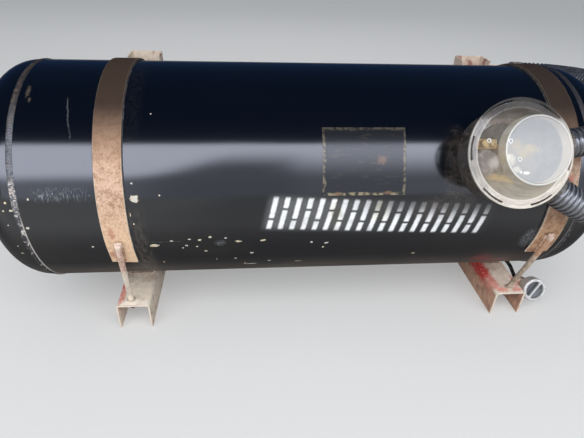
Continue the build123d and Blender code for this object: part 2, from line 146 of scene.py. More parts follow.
class Finish:
    """A material whose pattern reads the object's own coordinates, from the tank's middle."""

    def __init__(self, name, **values):
        self.material = bpy.data.materials.new(name)
        self.material.use_nodes = True
        self.tree = self.material.node_tree
        self.shader = self.tree.nodes["Principled BSDF"]
        self.set(**values)
        coordinates = self.add("ShaderNodeTexCoord").outputs["Object"]
        mapping = self.add("ShaderNodeMapping", Vector=coordinates, Scale=(1000, 1000, 1000),
                           Location=-1000 * tank_middle)
        self.place = Level(self, mapping.outputs["Vector"])

    def fill(self, socket, value):
        if isinstance(value, Level):
            value = value.socket
        if isinstance(value, bpy.types.NodeSocket):
            self.tree.links.new(value, socket)
        elif socket.type == "RGBA" and len(value) == 3:
            socket.default_value = (*value, 1)
        else:
            socket.default_value = value

    def set(self, **values):
        for name, value in values.items():
            self.fill(self.shader.inputs[name.replace("_", " ")], value)

    def add(self, kind, **inputs):
        node = self.tree.nodes.new(kind)
        for name, value in inputs.items():
            self.fill(node.inputs[name], value)
        return node

    def highest(self, first, *others):
        for other in others:
            first = first.work("MAXIMUM", first, other)
        return first

    def lowest(self, first, *others):
        for other in others:
            first = first.work("MINIMUM", first, other)
        return first

    def noise(self, size, stretch=(1, 1, 1), detail=4, roughness=0.5, place=None):
        """Noise from 0 to 1 with features about size millimetres across, longer where stretch is more."""
        spread = (place or self.place) * tuple(1 / (size * share) for share in stretch)
        node = self.add("ShaderNodeTexNoise", Vector=spread, Scale=1, Detail=detail, Roughness=roughness)
        return Level(self, node.outputs["Fac"])

    def mix(self, share, first, second):
        """The colour that goes from first to second as share goes from 0 to 1."""
        node = self.tree.nodes.new("ShaderNodeMix")
        node.data_type = "RGBA"
        for number, value in ((0, share), (6, first), (7, second)):
            self.fill(node.inputs[number], value)
        return Level(self, node.outputs[2])

    def coats(self, colour, *coats):
        """The colour under several coats, each given by its share and its own colour."""
        for share, coat in coats:
            colour = self.mix(share, colour, coat)
        return colour

    def two_tone(self, size, low, high, dark, pale, **kind):
        """Paints the finish dark and pale in patches of a size, and gives the pale's share."""
        share = self.noise(size, **kind).step(low, high)
        self.set(Base_Color=self.mix(share, dark, pale))
        return share

    def bump(self, height, depth):
        """Bump whose height of 1 stands for depth millimetres."""
        node = self.add("ShaderNodeBump", Height=height, Distance=depth / 1000, Strength=1.0)
        self.set(Normal=node.outputs["Normal"])

    def split(self):
        return [Level(self, part) for part in self.add("ShaderNodeSeparateXYZ", Vector=self.place).outputs]

    def join(self, x, y, z=0.0):
        return Level(self, self.add("ShaderNodeCombineXYZ", X=x, Y=y, Z=z).outputs["Vector"])

    def unrolled(self):
        """The tank's skin laid flat: x, then the arc up from the outboard side, in millimetres."""
        x, y, z = self.split()
        return x, z.work("ARCTAN2", z, y * -1.0) * tank_r


def dressed(name, mesh, finish, body="root", slot=None, replaces=()):
    """An object of one finish, which rides on a body and takes the place of CAD nodes; its slot is not
    used.
    """
    made = bpy.data.objects.new(name, mesh)
    bpy.context.scene.collection.objects.link(made)
    mesh.materials.clear()
    mesh.materials.append(finish.material)
    mesh.shade_smooth()
    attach(made, body)
    if replaces:
        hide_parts(*replaces)
    return made


def piece(name, points, faces, finish, sharp=None, **facts):
    """A mesh piece from points in metres, every face turned outwards, sharp at edges over sharp degrees."""
    mesh = bpy.data.meshes.new(name)
    mesh.from_pydata([tuple(point) for point in points], [], faces)
    shape = bmesh.new()
    shape.from_mesh(mesh)
    bmesh.ops.recalc_face_normals(shape, faces=shape.faces)
    shape.to_mesh(mesh)
    shape.free()
    dressed(name, mesh, finish, **facts)
    if sharp:
        mesh.set_sharp_from_angle(angle=math.radians(sharp))


def skin(rows, count, ring=True, loop=False):
    """Faces between rows of count points; ring joins a row's ends, loop joins the last row to the first."""
    faces = []
    for row in range(rows if loop else rows - 1):
        after = (row + 1) % rows
        for step in range(count if ring else count - 1):
            beside = (step + 1) % count
            faces.append((row * count + step, row * count + beside, after * count + beside,
                          after * count + step))
    return faces


tank_r = 200.0
seam_x = 458.0
flange_x = seam_x + 12.5
crown_r = 320.0
knuckle_r = 61.6
knuckle_y = tank_r - knuckle_r
crown_x = flange_x - math.sqrt((crown_r - knuckle_r) ** 2 - knuckle_y ** 2)
meeting = math.atan2(knuckle_y, flange_x - crown_x)

crown_steps, knuckle_steps = 20, 18
half_outline = []
for step in range(1, crown_steps + 1):
    angle = meeting * step / crown_steps
    half_outline.append((crown_x + crown_r * math.cos(angle), crown_r * math.sin(angle)))
for step in range(1, knuckle_steps + 1):
    angle = meeting + (math.pi / 2 - meeting) * step / knuckle_steps
    half_outline.append((flange_x + knuckle_r * math.cos(angle), knuckle_y + knuckle_r * math.sin(angle)))
half_outline.append((seam_x, tank_r))
outline = half_outline + [(150.0, tank_r), (-150.0, tank_r)] + [(-x, r) for x, r in reversed(half_outline)]

around = 224
points = [at(x, -r * math.cos(2 * math.pi * step / around), r * math.sin(2 * math.pi * step / around))
          for x, r in outline for step in range(around)]
faces = skin(len(outline), around)
last_row = (len(outline) - 1) * around
points += [at(crown_x + crown_r, 0, 0), at(-crown_x - crown_r, 0, 0)]
for step in range(around):
    beside = (step + 1) % around
    faces.append((beside, step, len(points) - 2))
    faces.append((last_row + step, last_row + beside, len(points) - 1))

paint = Finish("tank_paint", Specular_IOR_Level=0.5)
x, arc = paint.unrolled()
flat = paint.join(x, arc)
low_down = arc.step(60, -150)

# Dust: a thin brown film, thicker low down, in patches by the housing and beside the straps
patches = paint.noise(95, (2, 1, 1), detail=5, roughness=0.6).step(0.42, 0.75)
film = (low_down * 0.04 + 0.001) * (patches * 0.9 + 0.5)
speckle = paint.noise(2.2, detail=2).step(0.62, 0.74)
film += speckle * low_down * 0.05
by_housing = flat.spots([(232, 100, 26, 62), (238, 40, 34, 40), (205, 20, 44, 26)], 0.5).step(1.15, 0.55)
dirt = paint.noise(14, detail=6, roughness=0.75).step(0.38, 0.66, 0.2, 1.0)
dirt *= paint.noise(2.6, roughness=0.7).step(0.3, 0.72, 0.3, 1.0)
film += by_housing * dirt * 0.15
by_strap = paint.highest(x.between(-298, -274, 7), x.between(446, 449, 2.0) * 2.0)
by_strap *= arc.step(60, -60, 0.1, 1.0) * paint.noise(5, (1, 1, 4)).step(0.36, 0.66)
film += by_strap * 0.13
underneath = arc.step(-85, -160) * paint.noise(34, (4, 1, 1)).step(0.25, 0.65, 0.45, 1.0)
film += underneath * 0.19
colour = paint.mix(film, (0.0014, 0.0024, 0.0052), (0.4, 0.32, 0.24))
overspray = flat.spots([(332, -122, 24, 20), (366, -136, 34, 14)], 0.7).step(1.3, 0.2, 0.0, 0.34)
colour = paint.mix(overspray, colour, (0.34, 0.03, 0.03))

# Scuffs, a dried drip and chips down to the pale primer. Each chip's row has its middle, as x and
# arc, and its half width and half height.
stroke_box = x.between(-432, -350, 8) * arc.between(44, 62, 6)
strokes = stroke_box * paint.noise(2.2, (0.8, 3, 3), detail=3, roughness=0.6).step(0.5, 0.64)
strokes *= x.step(-345, -420, 0.4, 1.0)
drip_x = x + arc * 0.14 + paint.noise(14, detail=3) * 6.0
drip = drip_x.between(-353.6, -352.0, 1.0) * arc.between(140, 207, 6)
drip *= paint.noise(7, detail=3).step(0.32, 0.5, 0.25, 0.8)
colour = paint.mix(paint.highest(strokes * 0.5, drip * 0.3), colour, (0.3, 0.35, 0.38))
smear = flat.spots([(-446, 222, 3.5, 14), (-441, 205, 2.5, 6)], 0.7).step(1.2, 0.3, 0.0, 0.3)
colour = paint.mix(smear, colour, (0.22, 0.17, 0.12))
chips = [
    (-285, 46, 7, 6), (-287, 70, 1.8, 1.6), (-265, -45, 8, 4), (-237, -35, 3.6, 1.6),
    (-213, -47, 3, 2.2), (-183, -63, 2.6, 2.2), (-207, -32, 2.8, 1.8), (-191, -34, 4, 2.6),
    (-173, -28, 4, 2.4), (-148, -31, 2, 1.6), (-127, -39, 6, 2.2), (-85, -38, 4.6, 2.4),
    (-133, -90, 2.6, 2), (-105, -72, 4, 2.4), (-117, -114, 2.4, 1.6), (-109, -118, 13, 1.4),
    (-73, -104, 3.4, 2), (-258, -98, 2.2, 1.6), (24, -48, 3.8, 2.2), (19, -59, 2.2, 2.4),
    (-2, -45, 2.6, 2.0), (189, -88, 4, 1.6), (190, -20, 2.0, 2.4), (-246, 51, 1.5, 1.5),
    (-294, 19, 1.0, 3), (-291, 2, 1.2, 2), (-476, 42, 2.2, 2.4), (-482, 28, 1.8, 1.6),
    (-470, 29, 3, 2), (-464, 33, 1.6, 1.6), (-481, 3, 1.4, 1.6), (-480, -40, 1.2, 1.4),
    (-479, -58, 2.6, 1.2), (-442, 47, 1.4, 1.8), (-453, -2, 2.6, 2.4), (-364, -45, 2, 2.2),
    (-257, 180, 1.3, 1.3), (-196, -50, 2, 1.4), (-220, -53, 1.6, 1.4), (-166, -92, 1.8, 1.6),
    (-21, -110, 7, 1.2),
]
chipped = flat.spots(chips, 0.85).step(1.0, 0.8)
primer = paint.mix(paint.noise(16, detail=3).step(0.42, 0.58), (0.6, 0.5, 0.33), (0.55, 0.54, 0.49))
colour = paint.mix(chipped, colour, primer)
scratch = flat.spots([(-252, -37, 32, 0.8), (-157, -42, 12, 9), (-228, -37, 9, 0.9), (392, -48, 18, 30)],
                     0.25).step(1.0, 0.5)
scratch *= paint.noise(1.6, (2, 1, 1), detail=3).step(0.5, 0.66, 0.05, 0.4)
colour = paint.mix(scratch, colour, (0.4, 0.43, 0.46))

# Sprayed bars: a stencil's even slanted bars, each with a bridge, soft at the edges
ragged = (paint.noise(5) - 0.5) * 1.8
across_bars = x - arc * 0.22 + 80.0 + ragged
bar_pitch, bar_count = 19.15, 20
bars_low, bars_high = -12, 46
share = (across_bars / bar_pitch).fraction()
along_bar = arc + x * 0.05 + 3.8 + ragged
row_box = across_bars.between(0, bar_count * bar_pitch, 0.6) * along_bar.between(bars_low, bars_high, 3.0)
every_other = (across_bars / (2 * bar_pitch)).fraction()
bridge_at = every_other.step(0.49, 0.51, 7.0, 26.0)
bridge = (along_bar - bridge_at).between(-2.0, 2.0, 1.8)
bars = row_box * share.between(0.1, 0.54, 0.1) * (1.0 - bridge)
worn = paint.noise(16, roughness=0.6).step(0.25, 0.55, 0.72, 1.0)
thin_top = along_bar.step(8, 44) * x.step(20, 150, 0.1, 0.85)
bars *= worn * (1.0 - thin_top)
haze = across_bars.between(-3, bar_count * bar_pitch, 9) * along_bar.between(bars_low, bars_high, 9)
haze *= x.step(200, -70, 0.015, 0.15) * paint.noise(1.6, detail=2).step(0.3, 0.7, 0.5, 1.0)
white = paint.highest(bars, haze)
washed = flat.spots([(34, 16, 13, 30), (108, 18, 18, 30)], 0.5).step(1.1, 0.4, 0.0, 0.45)
colour = paint.mix(white, colour, paint.mix(washed, (0.9, 0.91, 0.93), (0.84, 0.79, 0.56)))
dull = paint.highest(bars, chipped, underneath, film * 2.2)
paint.set(Base_Color=colour,
          Roughness=paint.highest(dull.step(0, 1, 0.14, 0.75), arc.step(10, -130, 0.14, 0.5)))
waves = paint.noise(150, (1.6, 1, 1), detail=1)
grain = paint.noise(1.3, detail=2) * 0.006 + paint.noise(5, (16, 1, 1), detail=3) * 0.016
paint.bump(waves + grain - chipped * 0.12 + bars * 0.03, 1.3)
piece("tank_shell", points, faces, paint, slot="tank_paint",
      replaces=("tank_barrel", "tank_head_left", "tank_head_right"))


# Seam welds: the machine-laid beads that join the heads to the barrel, and the barrel's own seam
# along its back. The left one has lost its paint to rust and pale primer.
def ends(points, count):
    """The two end faces of a run of rows of count points."""
    return [tuple(range(count)), tuple(range(len(points) - count, len(points)))]


def weld_bead(name, path, outward, width, height, ripple, finish, closed=False, slot=None):
    """A rippled bead along path, a list of close points, standing out along outward at each of them."""
    shares = (-1.0, -0.72, -0.38, 0.0, 0.38, 0.72, 1.0)
    run = 0.0
    points = []
    for number, (spot, away) in enumerate(zip(path, outward)):
        before = path[number - 1] if number or closed else spot
        after = path[(number + 1) % len(path)] if closed else path[min(number + 1, len(path) - 1)]
        across = (after - before).cross(away).normalized()
        run += (spot - before).length if number else 0.0
        full = 1.0 if closed else min(1.0, 0.35 + 0.13 * min(number, len(path) - 1 - number))
        for share in shares:
            phase = (run / ripple - 0.45 * (1 - share * share)) % 1.0
            swell = 0.80 + 0.20 * math.cos(2 * math.pi * phase) + 0.12 * noise.noise(spot / 9)
            lift = height * (1 - share * share) * swell * full
            points.append(at(*(spot + across * (share * width / 2 * full) + away * (lift - 0.35))))
    faces = skin(len(path), len(shares), loop=closed)
    if not closed:
        faces += ends(points, len(shares))
    piece(name, points, faces, finish, slot=slot)


bead_finishes = []
for side_name, lost in (("left", 1.0), ("right", 0.3)):
    bead = Finish(f"seam_weld_{side_name}", Roughness=0.5)
    x, arc = bead.unrolled()
    grey = bead.noise(4, detail=5, roughness=0.7).step(0.36, 0.6) * arc.between(20, 170, 40) * (0.55 * lost)
    flaked = bead.noise(4.5, detail=5, roughness=0.7).step(0.54, 0.62) * arc.between(-150, 90, 30) * lost
    rusty = bead.noise(5, detail=6, roughness=0.75).step(0.46, 0.62) * arc.step(110, 190) * (0.8 * lost)
    pale = (arc + bead.noise(9) * 26).between(52, 84, 14) * (0.9 * lost)
    pale *= bead.noise(3.4, detail=5, roughness=0.7).step(0.46, 0.58)
    line = abs(x).between(seam_x + 0.2, seam_x + 1.6, 0.8) * arc.step(30, 0) * (0.9 * lost)
    colour = bead.coats(
        (0.01, 0.01, 0.012),
        (rusty, (0.115, 0.075, 0.045)),
        (grey, (0.17, 0.18, 0.2)),
        (bead.highest(flaked, line), (0.58, 0.54, 0.5)),
        (pale, (0.56, 0.49, 0.44)),
    )
    bead.set(Base_Color=colour)
    bead_finishes.append(bead)

bead_steps = 1500
turns = [2 * math.pi * step / bead_steps for step in range(bead_steps)]
for side, side_name, finish in ((-1, "left", bead_finishes[0]), (1, "right", bead_finishes[1])):
    outward = [Vector((0, -math.cos(turn), math.sin(turn))) for turn in turns]
    path = [Vector((side * (seam_x + 4.75), 0, 0)) + away * tank_r for away in outward]
    weld_bead(f"seam_bead_{side_name}", path, outward, 11.0, 2.0, 4.2, finish, closed=True,
              slot="tank_paint")
away = Vector((0, math.cos(math.radians(24)), -math.sin(math.radians(24))))
path = [Vector((x, 0, 0)) + away * tank_r for x in range(-457, 458)]
weld_bead("barrel_seam", path, [away] * len(path), 9.0, 1.7, 4.2, bead_finishes[1], slot="tank_paint")


# Data plate: a thin steel plate bent to the barrel and painted over, left blank. Old glue has
# dried along its edges in a ragged beige frame.
plate_left, plate_right = 10.0, 146.0
plate_low, plate_high = 47.0, 157.0
plate = Finish("data_plate", Roughness=0.17, Specular_IOR_Level=0.3)
x, arc = plate.unrolled()
wobble = (plate.noise(9) - 0.5) * 7.0
inside_x = plate.lowest(x - plate_left, plate_right - x)
inside_arc = plate.lowest(arc - plate_low, plate_high - arc)
from_edge = plate.lowest(inside_x, inside_arc) + wobble
glue = from_edge.step(5.5, 3.0)
glue *= plate.noise(6).step(0.34, 0.58)
smears = plate.noise(7, (3.5, 0.8, 0.8), detail=3).step(0.56, 0.72)
glue_share = arc.step(58, 52, 0.36, 0.62) * arc.step(152, 120, 0.4, 1.0)
residue = plate.highest(glue * glue_share, smears * 0.05)
rust_spot = plate.join(x, arc).spots([(106, 104, 10, 8)], 0.7).step(1.2, 0.2)
clots = plate.join(x, arc).spots([(35, 50, 6, 3.4), (118, 51, 7, 3.4)], 0.5).step(1.1, 0.6)
plate.set(Base_Color=plate.coats(
    (0.012, 0.013, 0.016),
    (residue, (0.42, 0.35, 0.22)),
    (rust_spot * 0.35, (0.32, 0.17, 0.09)),
    (clots * 0.8, (0.16, 0.09, 0.045)),
))
plate.bump(residue, 0.3)
columns, rows = 40, 30
points = []
for depth in (tank_r + 0.55, tank_r - 0.1):
    for row in range(rows + 1):
        turn = (plate_low + (plate_high - plate_low) * row / rows) / tank_r
        for column in range(columns + 1):
            x = plate_left + (plate_right - plate_left) * column / columns
            curl = 0.35 * max(0.0, noise.noise(Vector((x, row * 4.0, 0)) / 30)) if row in (0, rows) else 0.0
            radius = depth + curl
            points.append(at(x, -radius * math.cos(turn), radius * math.sin(turn)))
faces = skin(rows + 1, columns + 1, ring=False)
count = (rows + 1) * (columns + 1)
faces += [tuple(reversed([number + count for number in face])) for face in faces]
rim = list(range(columns + 1)) + [row * (columns + 1) + columns for row in range(1, rows + 1)]
rim += [rows * (columns + 1) + column for column in range(columns - 1, -1, -1)]
rim += [row * (columns + 1) for row in range(rows - 1, 0, -1)]
for number, corner in enumerate(rim):
    beside = rim[(number + 1) % len(rim)]
    faces.append((corner, beside, beside + count, corner + count))
piece("data_plate", points, faces, plate, sharp=40, slot="tank_paint")


# Straps: two flat steel bands, 42 mm wide, laid over the tank on thin rubber. The steel is rusted
# and coated in dust, with its long edges rubbed bare.
drop_angle = 19.0
drop = math.radians(drop_angle)
wrap, wrap_steps = 180.0 + 2 * drop_angle, 130
strap_half = 21.0
strap_in, strap_out = 201.2, 204.2
leg_end = 18.5
strap_centres = {"left": -320.4, "right": 422.7}


def leg_point(level, along, side=-1):
    """A point out from the axis and down a strap's straight leg; side -1 is outboard."""
    return (side * (level * math.cos(drop) - along * math.sin(drop)),
            -level * math.sin(drop) - along * math.cos(drop))


strap_finishes = {}
for side_name, tan, deep, low_tint_and_light, pale, red_spot in (
    ("left", (0.64, 0.42, 0.305), (0.36, 0.21, 0.125),
     (0.92, 0.65, 0.41), (0.86, 0.66, 0.50), (-333.0, -62.0)),
    ("right", (0.50, 0.35, 0.255), (0.26, 0.155, 0.10),
     (0.52, 0.30, 0.165), (0.64, 0.47, 0.35), (424.0, 20.0)),
):
    rust = Finish(f"strap_steel_{side_name}", Roughness=0.78, Specular_IOR_Level=0.15)
    x, arc = rust.unrolled()
    across = abs(x - strap_centres[side_name])
    mottle = rust.noise(11, detail=6, roughness=0.72).step(0.36, 0.6)
    grains = rust.noise(2.6, roughness=0.8)
    # The lower legs take their own tint: paler on the left strap, as painted light, and more orange on the
    # right. The last two coats darken the strap towards the top as painted shade.
    colour = rust.coats(
        deep,
        (mottle, tan),
        (arc.step(50, -50) * 0.8, low_tint_and_light),
        (grains.step(0.5, 0.62) * 0.55, pale),
        (grains.step(0.48, 0.36) * 0.42, tuple(0.7 * part for part in deep)),
        (arc.step(70, 140) * 0.6, deep),
        (arc.step(92, 200) * 0.97, tuple(0.07 * part for part in deep)),
    )
    red = rust.join(x, arc).spots([(*red_spot, 15, 11), (red_spot[0] + 5, red_spot[1] + 48, 7, 14)],
                                  0.9).step(1.0, 0.5)
    colour = rust.mix(red * 0.5, colour, (0.42, 0.1, 0.075))
    if side_name == "left":
        pale_red = arc.step(-95, -40) * arc.step(45, 0) * rust.noise(6).step(0.5, 0.62)
        colour = rust.mix(pale_red * 0.35, colour, (0.55, 0.3, 0.22))
    else:
        brown = arc.step(25, 0) * rust.noise(10, (1, 1.6, 1.6), detail=5, roughness=0.6).step(0.42, 0.58)
        colour = rust.mix(brown * 0.62, colour, (0.25, 0.115, 0.062))
        flash = rust.join(x, arc).spots([(434, -52, 5, 6), (436, -38, 2, 2)], 0.8).step(1.0, 0.6)
        colour = rust.mix(flash, colour, (0.72, 0.42, 0.3))
    bare = (across + rust.noise(7) * 2.4).step(20.9, 22.0)
    bare *= arc.step(150, 60, 0.08, 0.7)
    colour = rust.mix(bare, colour, (0.74, 0.63, 0.5))
    rust.set(Base_Color=colour)
    rust.bump(rust.noise(3.2, detail=5, roughness=0.7) + mottle * 0.6, 0.28)
    strap_finishes[side_name] = rust

stations = [("leg", leg_end - leg_end * step / 6, -1) for step in range(7)]
stations += [("arc", -drop_angle + wrap * step / wrap_steps, 0) for step in range(1, wrap_steps)]
stations += [("leg", leg_end * step / 6, 1) for step in range(7)]
corner_cut = ((0.8, 0.0), (0.25, 0.2), (0.0, 0.7), (0.0, 2.3), (0.25, 2.8), (0.8, 3.0))
corner = [(strap_half - cut, v) for cut, v in corner_cut]
section = [(-u, v) for u, v in corner] + [(step * 5.0, 3.0) for step in range(-3, 4)]
section += list(reversed(corner)) + [(step * 5.0, 0.0) for step in range(3, -4, -1)]
for side_name, strap_x in strap_centres.items():
    points = []
    for number, (kind, value, side) in enumerate(stations):
        if kind == "leg":
            foot, out = leg_point(strap_in, value, side), (side * math.cos(drop), -math.sin(drop))
        else:
            turn = math.radians(value)
            out = (-math.cos(turn), math.sin(turn))
            foot = (strap_in * out[0], strap_in * out[1])
        for u, v in section:
            edge = 0.55 * noise.noise(Vector((number * 0.45, u * 0.1, strap_x)))
            edge *= (abs(u) / strap_half) ** 4
            dent = 0.22 * noise.noise(Vector((number * 0.31, u * 0.09, strap_x + 7))) if v > 2.0 else 0.0
            skew = -0.05 * u if number == 0 and side_name == "left" else 0.0
            points.append(at(strap_x + u + math.copysign(edge, u), foot[0] + out[0] * (v + dent),
                             foot[1] + out[1] * (v + dent) + skew))
    faces = skin(len(stations), len(section)) + ends(points, len(section))
    piece(f"strap_{side_name}_band", points, faces, strap_finishes[side_name], sharp=50,
          slot="strap_steel", replaces=(f"strap_{side_name}",))

# Strap liners: one millimetre of black rubber under each strap, so that the steel can't rub the
# paint. It is laid in loose and squeezed by the strap, and its edges show as a wavy dark line.
liner = Finish("liner_rubber", Roughness=0.75)
liner.two_tone(5, 0.45, 0.7, (0.018, 0.018, 0.02), (0.1, 0.095, 0.09))
liner.bump(liner.noise(2, detail=3), 0.15)
liner_section = [(-22.5, 0.0), (-22.5, 0.7), (-22.2, 1.0), (22.2, 1.0), (22.5, 0.7), (22.5, 0.0)]
for side_name, strap_x in strap_centres.items():
    points = []
    for step in range(wrap_steps + 1):
        turn = math.radians(-drop_angle + wrap * step / wrap_steps)
        for u, v in liner_section:
            wave = 0.5 * noise.noise(Vector((step * 0.3, math.copysign(1, u), strap_x)))
            radius = tank_r + 0.1 + v
            points.append(at(strap_x + u + wave, -radius * math.cos(turn), radius * math.sin(turn)))
    faces = skin(wrap_steps + 1, len(liner_section)) + ends(points, len(liner_section))
    piece(f"strap_liner_{side_name}_made", points, faces, liner, sharp=40, slot="liner_rubber",
          replaces=(f"strap_liner_{side_name}",))


# Rods: round bar welded to each end of a strap, threaded below for the nut under the web.
# A rod's threads and the hoses' ridges both come from one tree, a tube with ribs along a curve.
def ribbed_tube_tree():
    tree = bpy.data.node_groups.new("ribbed_tube", "GeometryNodeTree")
    sockets = (
        ("Path", "NodeSocketGeometry", None), ("Radius", "NodeSocketFloat", 0.01),
        ("Rib depth", "NodeSocketFloat", 0.002), ("Rib pitch", "NodeSocketFloat", 0.005),
        ("Groove power", "NodeSocketFloat", 1.0), ("Rings to a rib", "NodeSocketFloat", 6.0),
        ("Sides", "NodeSocketInt", 32), ("Finish", "NodeSocketMaterial", None),
    )
    for name, kind, value in sockets:
        socket = tree.interface.new_socket(name, in_out="INPUT", socket_type=kind)
        if value is not None:
            socket.default_value = value
    tree.interface.new_socket("Tube", in_out="OUTPUT", socket_type="NodeSocketGeometry")
    given = tree.nodes.new("NodeGroupInput").outputs
    result = tree.nodes.new("NodeGroupOutput")

    def fill(socket, value):
        if isinstance(value, bpy.types.NodeSocket):
            tree.links.new(value, socket)
        else:
            socket.default_value = value

    def node(kind, **inputs):
        made = tree.nodes.new(kind)
        for name, value in inputs.items():
            fill(made.inputs[name.replace("_", " ")], value)
        return made

    def sum_of(operation, first, second):
        made = tree.nodes.new("ShaderNodeMath")
        made.operation = operation
        fill(made.inputs[0], first)
        fill(made.inputs[1], second)
        return made.outputs[0]

    even = node("GeometryNodeResampleCurve", Curve=given["Path"])
    even.mode = "LENGTH"
    tree.links.new(sum_of("DIVIDE", given["Rib pitch"], given["Rings to a rib"]), even.inputs["Length"])
    run = node("GeometryNodeSplineParameter").outputs["Length"]
    turn = sum_of("MULTIPLY", sum_of("DIVIDE", run, given["Rib pitch"]), 2 * math.pi)
    groove = sum_of("POWER", sum_of("MULTIPLY", sum_of("SUBTRACT", 1.0, sum_of("COSINE", turn, 0.0)), 0.5),
                    given["Groove power"])
    share = sum_of("SUBTRACT", 1.0,
                   sum_of("MULTIPLY", groove, sum_of("DIVIDE", given["Rib depth"], given["Radius"])))
    section = node("GeometryNodeCurvePrimitiveCircle", Resolution=given["Sides"], Radius=given["Radius"])
    marked = node("GeometryNodeStoreNamedAttribute", Geometry=even.outputs["Curve"], Name="groove",
                  Value=groove)
    tube = node("GeometryNodeCurveToMesh", Curve=marked.outputs["Geometry"],
                Profile_Curve=section.outputs["Curve"], Scale=share, Fill_Caps=True)
    smooth = node("GeometryNodeSetShadeSmooth", Geometry=tube.outputs["Mesh"])
    whole = node("GeometryNodeRealizeInstances", Geometry=smooth.outputs["Geometry"])
    painted = node("GeometryNodeSetMaterial", Geometry=whole.outputs["Geometry"], Material=given["Finish"])
    tree.links.new(painted.outputs["Geometry"], result.inputs["Tube"])
    return tree


ribbed_tree = ribbed_tube_tree()


def ribbed_tube(name, route, finish, radius, depth, pitch, power=1.0, rings=6.0, sides=32, **facts):
    """A ribbed tube along a smooth line through millimetre points, as a plain mesh piece."""
    curve = bpy.data.curves.new(name, "CURVE")
    curve.dimensions = "3D"
    curve.resolution_u = 24
    spline = curve.splines.new("NURBS" if len(route) > 2 else "POLY")
    spline.points.add(len(route) - 1)
    for point, spot in zip(spline.points, route):
        point.co = (*at(*spot), 1)
    if len(route) > 2:
        spline.order_u = 3
        spline.use_endpoint_u = True
    source = bpy.data.objects.new(name + "_route", curve)
    bpy.context.scene.collection.objects.link(source)
    ribs = source.modifiers.new("ribs", "NODES")
    ribs.node_group = ribbed_tree
    values = {"Radius": radius / 1000, "Rib depth": depth / 1000, "Rib pitch": pitch / 1000,
              "Groove power": power, "Rings to a rib": rings, "Sides": sides, "Finish": finish.material}
    for socket in ribbed_tree.interface.items_tree:
        if socket.in_out == "INPUT" and socket.name in values:
            ribs[socket.identifier] = values[socket.name]
    bpy.context.view_layer.update()
    mesh = bpy.data.meshes.new_from_object(source.evaluated_get(bpy.context.evaluated_depsgraph_get()))
    mesh.name = name
    bpy.data.objects.remove(source)
    bpy.data.curves.remove(curve)
    dressed(name, mesh, finish, **facts)


def round_line(direction, count):
    """A line's own direction, and count directions square to it, evenly round it."""
    way = direction.normalized()
    side = way.orthogonal().normalized()
    third = way.cross(side)
    turns = [2 * math.pi * step / count for step in range(count)]
    return way, [side * math.cos(turn) + third * math.sin(turn) for turn in turns]


def turned(name, outline, start, direction, finish, segments, **facts):
    """A solid turned about the line from start along direction; outline rows are (along, radius)."""
    way, outward = round_line(direction, segments)
    points = [at(*(start + way * along + out * radius)) for along, radius in outline for out in outward]
    faces = skin(len(outline), segments) + ends(points, segments)
    piece(name, points, faces, finish, sharp=35, **facts)


rod_level = strap_out + 5.0
rod_top = leg_end - 54.5
web_top = -203.2
rod_foot = (-web_top - rod_level * math.sin(drop)) / math.cos(drop)
rod_end = rod_foot + 28.0
nut_start = rod_foot + 3.0 / math.cos(drop) + 5.0
rod_leans = {"left": -15.6, "right": 2.2}
rods = [(side_name, side, place) for side_name in strap_centres
        for side, place in ((-1, "outboard"), (1, "inboard"))]


def rod_point(side_name, along, side):
    x = strap_centres[side_name] + rod_leans[side_name] * (along - rod_top) / (rod_foot - rod_top)
    return Vector((x, *leg_point(rod_level, along, side)))


rod = Finish("rod_steel", Roughness=0.7)
x, _, z = rod.split()
mottle = rod.noise(5, (1, 1, 2), detail=5, roughness=0.7).step(0.36, 0.62)
pale_end = z.step(-45, -39)
rusted = rod.coats((0.46, 0.28, 0.21), (mottle, (0.78, 0.56, 0.45)), (pale_end, (0.74, 0.58, 0.47)))
on_strap = rod.coats((0.34, 0.17, 0.1), (mottle, (0.56, 0.33, 0.21)), (pale_end, (0.64, 0.5, 0.41)))
darker = rod.coats((0.33, 0.24, 0.17), (mottle, (0.58, 0.46, 0.35)), (z.step(-94, -84), on_strap))
rod.set(Base_Color=rod.coats(
    (0.8, 0.66, 0.53),
    (mottle, (0.94, 0.83, 0.7)),
    (z.step(-114, -98), rusted),
    (x.step(-20, 20), darker),
    (z.step(-206, -212), (0.09, 0.06, 0.045)),
))
rod.bump(rod.noise(2.4), 0.2)

weld = Finish("rod_weld", Roughness=0.7)
blob = weld.noise(6).step(0.38, 0.6)
x, _, z = weld.split()
pale_top = z.step(-46, -40) * x.step(0, -200, 0.6, 1.0) * weld.noise(3, detail=3).step(0.35, 0.5)
weld.set(Base_Color=weld.coats((0.3, 0.16, 0.1), (blob, (0.54, 0.35, 0.24)), (pale_top, (0.64, 0.5, 0.41))))
weld.bump(weld.noise(2, detail=3), 0.2)

